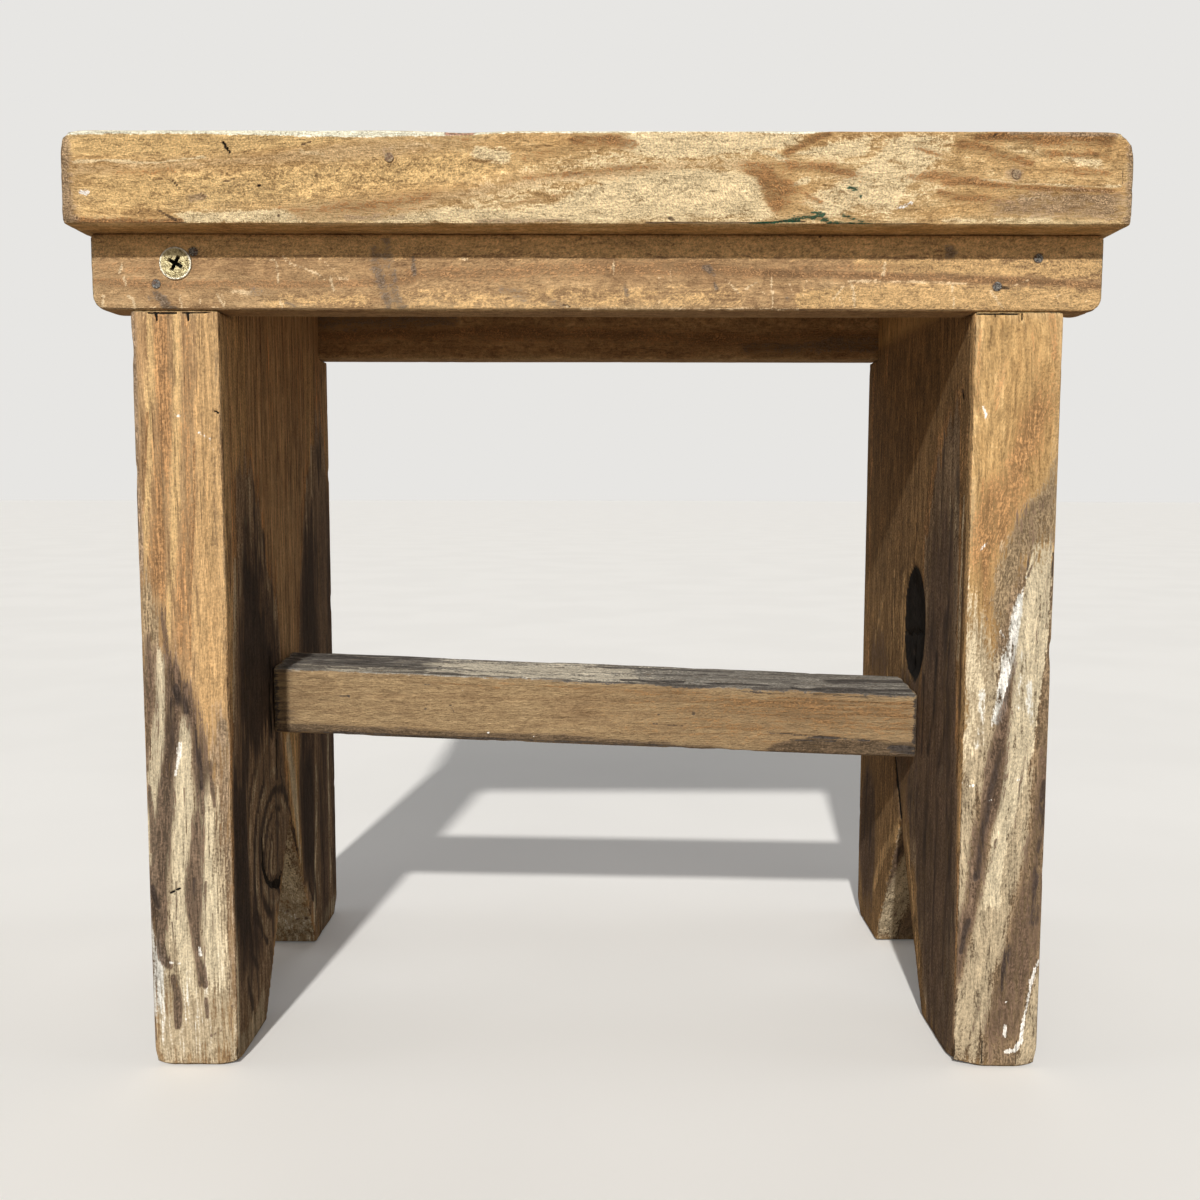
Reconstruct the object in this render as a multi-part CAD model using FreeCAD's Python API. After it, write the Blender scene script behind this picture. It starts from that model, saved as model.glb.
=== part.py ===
"""Small wooden milking stool, nailed together from six boards.

Two upright leg boards carry a thick seat board. Each leg has a V-shaped notch cut in its bottom edge, which
leaves a front and a back foot, and a shoulder at each top corner. The two aprons are let into those shoulders
and run past the legs, so they stop the stool from racking. A stretcher is butted between the legs about halfway
down. Everything is held by nails, and one apron nail has been helped by a cross-head wood screw.

Millimetres. X runs along the seat, +Y from front to back and +Z up. The origin is on the floor, under the
middle of the seat.
"""

import FreeCAD, Part
import math
import os

OUT_FOLDER = "parts"
OVERCUT = 10.0  # how far a cutting solid runs past what it cuts

# Seat board
STOOL_HEIGHT = 284.5
SEAT_LENGTH = 308.0
SEAT_DEPTH = 164.0
SEAT_THICKNESS = 26.5
SEAT_CORNER_RADIUS = 6.0
SEAT_TOP_RADIUS = 4.5
SEAT_BOTTOM_RADIUS = 1.2

# Leg boards
LEGS_OUTER_WIDTH = 280.0
LEG_THICKNESS = 27.0
LEG_DEPTH = 141.0
LEG_EDGE_RADIUS = 1.2
# Each foot notch: the length of the front and back foot, then where its apex is.
FOOT_NOTCHES = {
    "left": {"front_foot": 33.0, "back_foot": 38.0, "apex_y": -2.5, "apex_z": 61.0},
    "right": {"front_foot": 38.0, "back_foot": 34.5, "apex_y": 2.0, "apex_z": 59.0},
}

# Aprons, let into the legs' top corners
APRON_LENGTH = 302.0
APRON_HEIGHT = 22.8
APRON_THICKNESS = 14.0
APRON_EDGE_RADIUS = 0.8

# Stretcher, a little out of level and out of square, as it was nailed up
STRETCHER_HEIGHT = 22.5
STRETCHER_DEPTH = 26.5
STRETCHER_CENTRE_Y = -8.0
STRETCHER_CENTRE_Z = 104.5
STRETCHER_SLOPE_DEG = 2.4
STRETCHER_SKEW_DEG = 0.8
STRETCHER_EDGE_RADIUS = 0.8

# Lost-head nails
NAIL_SHANK_RADIUS = 1.0
NAIL_HEAD_RADIUS = 1.3
NAIL_HEAD_LENGTH = 0.9
NAIL_NECK_LENGTH = 0.9
NAIL_POINT_LENGTH = 3.0
APRON_NAIL_LENGTH = 40.0
SEAT_NAIL_LENGTH = 55.0
STRETCHER_NAIL_LENGTH = 55.0
SEAT_EDGE_NAIL_LENGTH = 30.0

# Where the nails go
APRON_NAILS_XZ = {"left": [(-131.4, 243.0), (-120.0, 252.4)], "right": [(131.3, 250.9), (119.3, 242.7)]}
SEAT_NAILS_Y = [-26.0, 10.0, 46.0]
STRETCHER_NAIL_OFFSET_Y = 5.0
STRETCHER_NAIL_OFFSET_Z = 4.0
SEAT_EDGE_NAILS_XZ = {"left": (-59.4, 276.6), "right": (120.1, 272.2)}

# Countersunk wood screw with a cross recess
SCREW_XZ = (-125.4, 249.0)
SCREW_STANDS_PROUD = 0.4
SCREW_LENGTH = 38.0
SCREW_HEAD_RADIUS = 4.9
SCREW_RIM_HEIGHT = 0.7
SCREW_HEAD_HEIGHT = 3.4
SCREW_CORE_RADIUS = 1.6
SCREW_THREAD_RADIUS = 2.4
SCREW_PLAIN_SHANK = 8.0
SCREW_THREAD_PITCH = 2.2
SCREW_POINT_LENGTH = 4.0
RECESS_SPAN = 4.9
RECESS_WING_WIDTH = 1.15
RECESS_DEPTH = 2.3
RECESS_BOTTOM_RADIUS = 0.9
RECESS_TURN_DEG = 28.0

# Worked out from the above
SEAT_UNDERSIDE_Z = STOOL_HEIGHT - SEAT_THICKNESS
APRON_UNDERSIDE_Z = SEAT_UNDERSIDE_Z - APRON_HEIGHT
LEG_FRONT_Y = -LEG_DEPTH / 2
LEG_OUTER_X = LEGS_OUTER_WIDTH / 2
LEG_INNER_X = LEG_OUTER_X - LEG_THICKNESS
SIDES = {"left": -1, "right": 1}

X_AXIS = FreeCAD.Vector(1, 0, 0)
Y_AXIS = FreeCAD.Vector(0, 1, 0)
Z_AXIS = FreeCAD.Vector(0, 0, 1)
TOWARDS_BACK = Y_AXIS
TOWARDS_FRONT = -Y_AXIS
DOWN = -Z_AXIS


def block(low, high):
    """A box between two opposite corners."""
    size = [h - l for l, h in zip(low, high)]
    return Part.makeBox(*size, FreeCAD.Vector(*low))


def edges_along(shape, axis):
    """The straight edges that run along an axis."""
    found = []
    for edge in shape.Edges:
        if isinstance(edge.Curve, Part.Line):
            if abs(edge.Curve.Direction.dot(axis)) > 0.999:
                found.append(edge)
    return found


def edges_at_height(shape, z):
    """The edges that lie wholly at one height."""
    return [e for e in shape.Edges if abs(e.BoundBox.ZMin - z) < 1e-4 and abs(e.BoundBox.ZMax - z) < 1e-4]


def revolve_profile(points):
    """The solid that a closed (radius, distance along +Z) outline sweeps around Z."""
    corners = [FreeCAD.Vector(radius, 0, along) for radius, along in points]
    face = Part.Face(Part.makePolygon(corners + corners[:1]))
    return face.revolve(FreeCAD.Vector(0, 0, 0), Z_AXIS, 360)


def placed(shape, position, direction):
    """A shape made along +Z from the origin, set at a position and pointing in a direction."""
    moved = shape.copy()
    moved.Placement = FreeCAD.Placement(FreeCAD.Vector(*position), FreeCAD.Rotation(Z_AXIS, direction))
    return moved


# Boards


def seat_board():
    half_length, half_depth = SEAT_LENGTH / 2, SEAT_DEPTH / 2
    board = block((-half_length, -half_depth, SEAT_UNDERSIDE_Z), (half_length, half_depth, STOOL_HEIGHT))
    board = board.makeFillet(SEAT_CORNER_RADIUS, edges_along(board, Z_AXIS))
    board = board.makeFillet(SEAT_TOP_RADIUS, edges_at_height(board, STOOL_HEIGHT))
    return board.makeFillet(SEAT_BOTTOM_RADIUS, edges_at_height(board, SEAT_UNDERSIDE_Z))


def leg_board(side):
    """An upright board: its outline seen from the end of the stool, given its thickness along X."""
    notch = FOOT_NOTCHES[side]
    front, back = LEG_FRONT_Y, -LEG_FRONT_Y
    outline = [
        (front, 0),
        (front + notch["front_foot"], 0),
        (notch["apex_y"], notch["apex_z"]),
        (back - notch["back_foot"], 0),
        (back, 0),
        (back, APRON_UNDERSIDE_Z),
        (back - APRON_THICKNESS, APRON_UNDERSIDE_Z),
        (back - APRON_THICKNESS, SEAT_UNDERSIDE_Z),
        (front + APRON_THICKNESS, SEAT_UNDERSIDE_Z),
        (front + APRON_THICKNESS, APRON_UNDERSIDE_Z),
        (front, APRON_UNDERSIDE_Z),
    ]
    low_x = LEG_INNER_X if side == "right" else -LEG_OUTER_X
    corners = [FreeCAD.Vector(low_x, y, z) for y, z in outline]
    board = Part.Face(Part.makePolygon(corners + corners[:1])).extrude(X_AXIS * LEG_THICKNESS)
    outer_edges = [e for e in edges_along(board, Z_AXIS) if abs(abs(e.CenterOfMass.y) - back) < 1e-4]
    return board.makeFillet(LEG_EDGE_RADIUS, outer_edges)


def apron(front):
    """A rail flush with the front or back edges of the legs."""
    half_length = APRON_LENGTH / 2
    low_y = LEG_FRONT_Y if front else -LEG_FRONT_Y - APRON_THICKNESS
    low = (-half_length, low_y, APRON_UNDERSIDE_Z)
    board = block(low, (half_length, low_y + APRON_THICKNESS, SEAT_UNDERSIDE_Z))
    outer_y = low_y if front else low_y + APRON_THICKNESS
    long_edges = [e for e in edges_along(board, X_AXIS) if abs(e.CenterOfMass.y - outer_y) < 1e-4]
    return board.makeFillet(APRON_EDGE_RADIUS, long_edges)


def stretcher():
    """A square-sawn bar across the gap between the legs, cut off at their inner faces."""
    half_length = LEG_INNER_X + OVERCUT
    half_depth, half_height = STRETCHER_DEPTH / 2, STRETCHER_HEIGHT / 2
    bar = block((-half_length, -half_depth, -half_height), (half_length, half_depth, half_height))
    bar = bar.makeFillet(STRETCHER_EDGE_RADIUS, edges_along(bar, X_AXIS))
    bar.rotate(FreeCAD.Vector(0, 0, 0), Y_AXIS, STRETCHER_SLOPE_DEG)
    bar.rotate(FreeCAD.Vector(0, 0, 0), Z_AXIS, STRETCHER_SKEW_DEG)
    bar.translate(FreeCAD.Vector(0, STRETCHER_CENTRE_Y, STRETCHER_CENTRE_Z))
    gap = block((-LEG_INNER_X, -LEG_DEPTH, 0), (LEG_INNER_X, LEG_DEPTH, SEAT_UNDERSIDE_Z))
    return bar.common(gap)


def stretcher_end_centre(side):
    """The middle of the stretcher's end, in Y and Z, on the leg's inner face."""
    x = SIDES[side] * LEG_INNER_X
    y = STRETCHER_CENTRE_Y + x * math.tan(math.radians(STRETCHER_SKEW_DEG))
    z = STRETCHER_CENTRE_Z - x * math.tan(math.radians(STRETCHER_SLOPE_DEG))
    return y, z


# Fasteners


def nail(length):
    """A lost-head nail with its head's top at the origin and its point along +Z."""
    neck_end = NAIL_HEAD_LENGTH + NAIL_NECK_LENGTH
    return revolve_profile(
        [
            (0, 0),
            (NAIL_HEAD_RADIUS, 0),
            (NAIL_HEAD_RADIUS, NAIL_HEAD_LENGTH),
            (NAIL_SHANK_RADIUS, neck_end),
            (NAIL_SHANK_RADIUS, length - NAIL_POINT_LENGTH),
            (0, length),
        ]
    )


def apron_nails():
    """Two nails through each end of each apron into the leg behind it."""
    made = {}
    for apron_name, face_y, direction in (
        ("front", LEG_FRONT_Y, TOWARDS_BACK),
        ("back", -LEG_FRONT_Y, TOWARDS_FRONT),
    ):
        for side in SIDES:
            for number, (x, z) in enumerate(APRON_NAILS_XZ[side], 1):
                name = f"{apron_name}_apron_nail_{side}_{number}"
                made[name] = placed(nail(APRON_NAIL_LENGTH), (x, face_y, z), direction)
    return made


def seat_nails():
    """Nails down through the seat into the top end of each leg."""
    made = {}
    for side, sign in SIDES.items():
        for number, y in enumerate(SEAT_NAILS_Y, 1):
            position = (sign * (LEG_OUTER_X - LEG_THICKNESS / 2), y, STOOL_HEIGHT)
            made[f"seat_nail_{side}_{number}"] = placed(nail(SEAT_NAIL_LENGTH), position, DOWN)
    return made


def stretcher_nails():
    """Two nails through each leg into the end of the stretcher."""
    made = {}
    for side, sign in SIDES.items():
        y, z = stretcher_end_centre(side)
        for number, turn in enumerate((-1, 1), 1):
            position = (
                sign * LEG_OUTER_X,
                y + turn * STRETCHER_NAIL_OFFSET_Y,
                z - turn * STRETCHER_NAIL_OFFSET_Z,
            )
            direction = X_AXIS * -sign
            made[f"stretcher_nail_{side}_{number}"] = placed(nail(STRETCHER_NAIL_LENGTH), position, direction)
    return made


def seat_edge_nails():
    """Two old nails left in the seat's front edge."""
    made = {}
    for side, (x, z) in SEAT_EDGE_NAILS_XZ.items():
        position = (x, -SEAT_DEPTH / 2, z)
        made[f"seat_edge_nail_{side}"] = placed(nail(SEAT_EDGE_NAIL_LENGTH), position, TOWARDS_BACK)
    return made


def screw_blank():
    """The screw with no recess, its head's top at the origin and its point along +Z."""
    outline = [
        (0, 0),
        (SCREW_HEAD_RADIUS - SCREW_STANDS_PROUD / 2, 0),
        (SCREW_HEAD_RADIUS, SCREW_STANDS_PROUD),
        (SCREW_HEAD_RADIUS, SCREW_RIM_HEIGHT),
        (SCREW_THREAD_RADIUS, SCREW_HEAD_HEIGHT),
        (SCREW_THREAD_RADIUS, SCREW_HEAD_HEIGHT + SCREW_PLAIN_SHANK),
    ]
    thread_start = SCREW_HEAD_HEIGHT + SCREW_PLAIN_SHANK
    thread_length = SCREW_LENGTH - SCREW_POINT_LENGTH - thread_start
    turns = int(thread_length / SCREW_THREAD_PITCH)
    for turn in range(turns):
        along = thread_start + turn * SCREW_THREAD_PITCH
        outline.append((SCREW_CORE_RADIUS, along + SCREW_THREAD_PITCH * 0.3))
        outline.append((SCREW_CORE_RADIUS, along + SCREW_THREAD_PITCH * 0.7))
        outline.append((SCREW_THREAD_RADIUS, along + SCREW_THREAD_PITCH))
    thread_end = thread_start + turns * SCREW_THREAD_PITCH
    outline.append((SCREW_CORE_RADIUS, thread_end + SCREW_THREAD_PITCH * 0.3))
    outline.append((0, SCREW_LENGTH))
    return revolve_profile(outline)


def screw_recess():
    """The cross recess: two crossed slots that narrow towards the bottom."""
    half_span, half_width = RECESS_SPAN / 2, RECESS_WING_WIDTH / 2
    slot = block((-half_span, -half_width, -OVERCUT), (half_span, half_width, RECESS_DEPTH))
    other_slot = slot.copy()
    other_slot.rotate(FreeCAD.Vector(0, 0, 0), Z_AXIS, 90)
    taper = Part.makeCone(half_span, RECESS_BOTTOM_RADIUS, RECESS_DEPTH)
    recess = slot.fuse(other_slot).common(taper)
    recess.rotate(FreeCAD.Vector(0, 0, 0), Z_AXIS, RECESS_TURN_DEG)
    return recess


def screw(shape):
    """A screw part set through the front apron into the left leg, standing a little proud."""
    x, z = SCREW_XZ
    return placed(shape, (x, LEG_FRONT_Y - SCREW_STANDS_PROUD, z), TOWARDS_BACK)


def export(name, shape):
    """Writes one node's STEP file, after checking that its solids are sound."""
    if not shape.Solids or not shape.isValid():
        raise ValueError(f"{name} isn't a valid solid")
    shape.exportStep(os.path.join(OUT_FOLDER, f"{name}.step"))
    print(f"{name}: {len(shape.Solids)} solid, {shape.Volume / 1000:.2f} cm3")


def main():
    os.makedirs(OUT_FOLDER, exist_ok=True)
    nails = {**apron_nails(), **seat_nails(), **stretcher_nails(), **seat_edge_nails()}
    boards = {
        "seat_board": seat_board(),
        "left_leg_board": leg_board("left"),
        "right_leg_board": leg_board("right"),
        "front_apron": apron(front=True),
        "back_apron": apron(front=False),
        "stretcher": stretcher(),
    }
    driven_in = [*nails.values(), screw(screw_blank())]
    for name, board in boards.items():
        crossing = [f for f in driven_in if f.BoundBox.intersect(board.BoundBox)]
        drilled = board.cut(crossing)
        export(name, drilled.Solids[0] if len(drilled.Solids) == 1 else drilled)
    for name, shape in nails.items():
        export(name, shape)
    export("apron_screw", screw(screw_blank().cut(screw_recess())))


main()
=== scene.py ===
"""Looks of the milking stool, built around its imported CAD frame.

Six boards are rebuilt as dense, worn meshes in place of their square CAD solids. The nails and the screw are
the CAD solids with better materials. Sizes are in millimetres and become metres where a mesh is made. X runs
along the seat, Y from front to back and Z up, as in the CAD model.

Marks are placed in millimetres on one side of a board. The side is named by where it faces, so "-y" is the
front. How each kind of mark looks is in the board's look.
"""

from itertools import product
from math import pi, radians
from types import SimpleNamespace

import bmesh
import bpy
import numpy as np
from mathutils import Matrix, Vector


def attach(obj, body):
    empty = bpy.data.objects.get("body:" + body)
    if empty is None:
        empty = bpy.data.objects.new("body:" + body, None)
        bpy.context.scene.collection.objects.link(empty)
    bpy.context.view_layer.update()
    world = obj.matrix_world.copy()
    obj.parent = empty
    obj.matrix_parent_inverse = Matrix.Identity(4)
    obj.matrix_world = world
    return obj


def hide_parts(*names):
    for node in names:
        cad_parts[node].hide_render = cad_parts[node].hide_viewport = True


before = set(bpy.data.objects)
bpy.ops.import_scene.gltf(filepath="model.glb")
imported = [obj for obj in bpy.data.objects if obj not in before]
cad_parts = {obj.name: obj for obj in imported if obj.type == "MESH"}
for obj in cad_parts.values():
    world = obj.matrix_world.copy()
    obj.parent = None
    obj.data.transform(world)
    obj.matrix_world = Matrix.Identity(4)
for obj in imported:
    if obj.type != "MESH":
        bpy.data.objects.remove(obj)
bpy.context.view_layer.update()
MM = 0.001

# Camera
CAMERA_PLACE = (1.48, -427.8, 181.0)
CAMERA_LENS = 35.27
CAMERA_SENSOR = 36.0
CAMERA_DOWN_DEG = 5.173
CAMERA_LEFT_DEG = 0.059
CAMERA_ROLL_DEG = 0.108

# Lights: name, where it shines from, strength, how wide it is in degrees, and tint
SUNS = (
    ("key", (-0.12, -1.0, 0.68), 3.1, 2.0, (1.0, 0.97, 0.92)),
    ("front_fill", (0.0, -1.0, 0.1), 1.0, 90.0, (1.0, 0.95, 0.88)),
    ("back_fill", (0.0, 1.0, 1.1), 0.45, 60.0, (0.95, 0.97, 1.0)),
    ("left_fill", (-1.0, 0.0, 0.45), 0.45, 30.0, (0.95, 0.97, 1.0)),
    ("right_fill", (1.0, 0.0, 0.45), 0.45, 30.0, (0.95, 0.97, 1.0)),
)
FILL_COLOUR = (1.0, 0.9, 0.76, 1.0)
FILL_STRENGTH = 0.08
BACKDROP_COLOUR = (0.80, 0.79, 0.77, 1.0)
FLOOR_RADIUS = 30
FLOOR_BOUNCE = (0.32, 0.26, 0.20, 1.0)
FLOOR_GLOW = (0.05, 0.05, 0.05, 1.0)

# Boards, in millimetres, at or within half a millimetre of the CAD model's sizes
SEAT = {"x": 154.3, "y": 82.0, "low": 257.6, "high": 284.6, "left_round": 5, "right_round": 7}
LEG = {"outer": 140.0, "inner": 113.0, "y": 70.5, "shoulder": 235.6, "high": 258.0, "neck": 56.5}
FOOT_NOTCHES = {-1: ((-37.5, 0.0), (-2.5, 61.0), (32.5, 0.0)), 1: ((-32.5, 0.0), (2.0, 59.0), (36.0, 0.0))}
APRON = {"x": 151.0, "low": 235.2, "high": 258.0}
STRETCHER = {"x": 113.0, "y": -8.0, "z": 104.5, "high": 22.5, "deep": 26.5, "slope": 2.4, "skew": 0.8}
SCREW_HEAD = (-125.4, -70.5, 249.0)
SCREW_HEAD_RADIUS = 4.9
LEFT_KNOT = (-22.0, 55.0)
RIGHT_KNOT = (-10.5, 135.0)
RIGHT_KNOT_REACH = (13.5, 20.0)
STAINS_END = 240  # above this height a leg is plain wood, hidden by the aprons
SHARP_ANGLE = 0.3  # in radians: edges that turn by more than this get worn round
FACING = (0.35, 0.75)  # how squarely a surface has to face a side to start, and to finish, being part of it
MARK_STEEPNESS = 1.5  # at 1 a mark fades from its middle line, and above 1 its middle stays at full strength
CRACK_DEPTH = 0.6
EDGE_SHINE_WIDTH = 2.2
NOISE_LOW, NOISE_HIGH = 0.26, 0.74  # a noise texture seldom goes past these
PALE = 0.35  # a paint with more green than this shows little of the wood's own figure


# ---------------------------------------------------------------- smooth noise

HASH_AXES = np.array([374761393, 668265263, 912271])
HASH_SEED = 1274126177
HASH_STIR = 1103515245


def smooth_noise(points, seed):
    """Value noise from -1 to 1 with cells one unit wide."""
    cell = np.floor(points).astype(np.int64)
    part = points - cell
    part = part * part * (3 - 2 * part)
    total = np.zeros(len(points))
    for corner in product((0, 1), repeat=3):
        key = (cell + corner) @ HASH_AXES + seed * HASH_SEED
        key = (key ^ (key >> 13)) * HASH_STIR & 0xFFFFFFFF
        value = ((key ^ (key >> 16)) & 0xFFFF) / 32767.5 - 1
        total += value * np.prod(np.where(corner, part, 1 - part), axis=1)
    return total


def layered_noise(points, size, seed, layers):
    """Noise whose largest lumps are size wide; size is a number or one per axis."""
    total = np.zeros(len(points))
    for layer in range(layers):
        total += smooth_noise(points / np.asarray(size) * 2**layer + 17.3 * layer, seed + layer) / 2**layer
    return total / 1.6


def ramp(values, low, high):
    """0 at low, 1 at high, smooth between."""
    part = np.clip((values - low) / (high - low), 0, 1)
    return part * part * (3 - 2 * part)


# ---------------------------------------------------------------- board meshes


def prism(outline, axis, low, high, bevel):
    """A closed block: an outline of points in the two other axes, pushed along axis from low to high."""
    bm = bmesh.new()
    ends = []
    for level in (low, high):
        ring = [bm.verts.new(np.insert(point, axis, level)) for point in outline]
        ends.append(ring)
        bm.faces.new(ring)
    count = len(outline)
    for i in range(count):
        j = (i + 1) % count
        bm.faces.new((ends[0][i], ends[0][j], ends[1][j], ends[1][i]))
    bmesh.ops.recalc_face_normals(bm, faces=bm.faces)
    edges = np.array([[v.co[:] for v in e.verts] for e in bm.edges if e.calc_face_angle(0) > SHARP_ANGLE])
    bmesh.ops.bevel(bm, geom=bm.edges[:], offset=bevel, segments=3, profile=0.5, affect="EDGES",
                    clamp_overlap=True)
    mesh = bpy.data.meshes.new("outline")
    bm.to_mesh(mesh)
    bm.free()
    return mesh, edges


def remeshed(mesh, voxel):
    """The same block as an even grid of faces voxel wide."""
    block = bpy.data.objects.new("block", mesh)
    bpy.context.collection.objects.link(block)
    grid = block.modifiers.new("grid", "REMESH")
    grid.mode = "VOXEL"
    grid.voxel_size = voxel
    grid.adaptivity = 0.0
    graph = bpy.context.evaluated_depsgraph_get()
    result = bpy.data.meshes.new_from_object(block.evaluated_get(graph))
    bpy.data.objects.remove(block)
    bpy.data.meshes.remove(mesh)
    return result


def refine(mesh, wanted, cuts):
    """Divides each face whose middle and normal satisfy wanted, with cuts new lines each way."""
    bm = bmesh.new()
    bm.from_mesh(mesh)
    edges = {e for f in bm.faces if wanted(f.calc_center_median(), f.normal) for e in f.edges}
    bmesh.ops.subdivide_edges(bm, edges=list(edges), cuts=cuts, use_grid_fill=True)
    bmesh.ops.triangulate(bm, faces=[f for f in bm.faces if len(f.verts) > 4])
    bm.to_mesh(mesh)
    bm.free()


def coordinates(mesh):
    flat = np.empty(len(mesh.vertices) * 3, np.float32)
    mesh.vertices.foreach_get("co", flat)
    return flat.reshape(-1, 3).astype(float)


def normals(mesh):
    flat = np.empty(len(mesh.vertices) * 3, np.float32)
    mesh.vertices.foreach_get("normal", flat)
    return flat.reshape(-1, 3).astype(float)


def edge_distance(points, edges):
    """Distance from each point to the nearest of the block's sharp edges."""
    nearest = np.full(len(points), np.inf)
    for start, end in edges:
        along = end - start
        part = np.clip((points - start) @ along / (along @ along), 0, 1)
        nearest = np.minimum(nearest, np.linalg.norm(points - start - part[:, None] * along, axis=1))
    return nearest


def arc(centre, reach, start, end, half_width):
    """Points along part of an ellipse, for paint. Angles are in degrees, from first axis to second."""
    turns = np.radians(np.linspace(start, end, 11))
    return [(centre[0] + reach[0] * np.cos(t), centre[1] + reach[1] * np.sin(t), half_width) for t in turns]


class Board:
    """A board's points and normals, with what has been worn off and painted on so far."""

    def __init__(self, name, blank, voxel, grain, seed, fine, cuts=1):
        mesh, edges = blank
        self.mesh = remeshed(mesh, voxel)
        if fine:
            refine(self.mesh, fine, cuts)
        self.name = name
        self.points = coordinates(self.mesh)
        self.normals = normals(self.mesh)
        self.edge = edge_distance(self.points, edges)
        self.seed = seed
        self.grain = grain
        self.sunk = np.zeros(len(self.points))
        self.known_noise = {}
        self.layers = {}

    def noise(self, along, across, seed, layers=3):
        """Noise with lumps along mm long down the grain and across mm wide."""
        wanted = (along, across, seed, layers)
        if wanted not in self.known_noise:
            size = np.full(3, across)
            size[self.grain] = along
            self.known_noise[wanted] = layered_noise(self.points, size, self.seed * 31 + seed, layers)
        return self.known_noise[wanted]

    def wear(self, waves, ridges, lumps, rounding, chips):
        """Handling and weather: slow waves, raised grain, rounded edges and small chips along them."""
        self.sunk += waves * (1 + self.noise(60, 18, seed=1, layers=2))
        self.sunk += ridges * (1 + self.noise(40, 2.2, seed=2, layers=2))
        self.sunk += lumps * (1 + self.noise(6, 3.2, seed=12, layers=2))
        radius = rounding * (1 + 0.6 * self.noise(25, 10, seed=3, layers=2))
        near = np.clip(1 - self.edge / radius, 0, 1)
        self.sunk += radius * 0.6 * (1 - np.sqrt(1 - near**2))
        chip = ramp(self.noise(9, 4, seed=4, layers=2), 0.35, 0.8) * ramp(self.edge, 3.5, 0.5)
        self.sunk += chips * chip

    def dent(self, centre, radius, depth):
        """Presses the surface in round a point."""
        away = np.linalg.norm(self.points - np.array(centre), axis=1)
        self.sunk += depth * np.clip(1 - away / radius, 0, 1) ** 2

    def facing(self, side):
        """1 where the surface faces side, such as "-y", and 0 where it faces away."""
        axis = "xyz".index(side[1])
        sign = 1 if side[0] == "+" else -1
        return ramp(sign * self.normals[:, axis], *FACING)

    def paint(self, layer, side, marks, wobble):
        """Lays marks on one side. A mark is a path of (across, up, half width) points and its strength."""
        axis = "xyz".index(side[1])
        flat = np.delete(self.points, axis, axis=1)
        flat = flat + wobble * np.stack([self.noise(14, 3, seed=5), self.noise(14, 3, seed=6)], axis=1)
        field = self.layers.setdefault(layer, np.zeros(len(self.points)))
        facing = self.facing(side)
        for mark in marks:
            *path, strength = mark
            if len(path) == 1:
                path = path * 2
            for start, end in zip(path, path[1:]):
                start, end = np.array(start, float), np.array(end, float)
                along = end[:2] - start[:2]
                part = np.clip((flat - start[:2]) @ along / max(along @ along, 1e-9), 0, 1)
                away = np.linalg.norm(flat - start[:2] - part[:, None] * along, axis=1)
                width = start[2] + part * (end[2] - start[2])
                shape = np.clip(MARK_STEEPNESS * (1 - away / width), 0, 1)
                field[:] = np.maximum(field, strength * facing * shape)

    def band(self, layer, side, rows, soft, strength=1.0, wobble=0.6, fringe=0.0):
        """Fills an area from rows of (place along the grain, low edge, high edge).

        The fringe is how far, in mm, its ends run ragged along the fibres.
        """
        axis = "xyz".index(side[1])
        across = 3 - axis - self.grain
        place, low, high = np.array(sorted(rows), float).T
        along = self.points[:, self.grain] + 3 * wobble * self.noise(16, 4, seed=5)
        along = along + fringe * self.noise(50, 2.4, seed=16, layers=2)
        level = self.points[:, across] + wobble * self.noise(18, 3, seed=6)
        inside = np.minimum(level - np.interp(along, place, low), np.interp(along, place, high) - level)
        inside = np.minimum(inside, np.minimum(along - place[0], place[-1] - along) / 3)
        field = self.layers.setdefault(layer, np.zeros(len(self.points)))
        filled = strength * self.facing(side) * np.clip(0.5 + inside / (2 * soft), 0, 1)
        field[:] = np.maximum(field, filled)

    def patches(self, layer, side, within, strength, along, across):
        """Scatters soft patches of one layer over what another layer covers on one side."""
        spots = ramp(self.noise(along, across, seed=17), 0.0, 0.4)
        covered = self.facing(side) * np.clip(self.layers[within], 0, 1)
        field = self.layers.setdefault(layer, np.zeros(len(self.points)))
        field[:] = np.maximum(field, strength * spots * covered)

    def build(self, slot, node):
        """Makes the object, in metres, in place of the CAD node."""
        if "crack_and_shade" in self.layers:
            self.sunk += CRACK_DEPTH * self.layers["crack_and_shade"]
        worn = self.points - self.normals * self.sunk[:, None]
        self.mesh.vertices.foreach_set("co", (worn * MM).astype(np.float32).ravel())
        self.layers["edge"] = np.exp(-((self.edge / EDGE_SHINE_WIDTH) ** 2))
        for layer, field in self.layers.items():
            attribute = self.mesh.attributes.new(layer, "FLOAT", "POINT")
            attribute.data.foreach_set("value", field.astype(np.float32))
        self.mesh.polygons.foreach_set("use_smooth", np.ones(len(self.mesh.polygons), bool))
        self.mesh.update()
        piece = bpy.data.objects.new(self.name, self.mesh)
        bpy.context.collection.objects.link(piece)
        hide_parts(node)
        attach(piece, "root")
        return piece


# ---------------------------------------------------------------- materials


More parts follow.
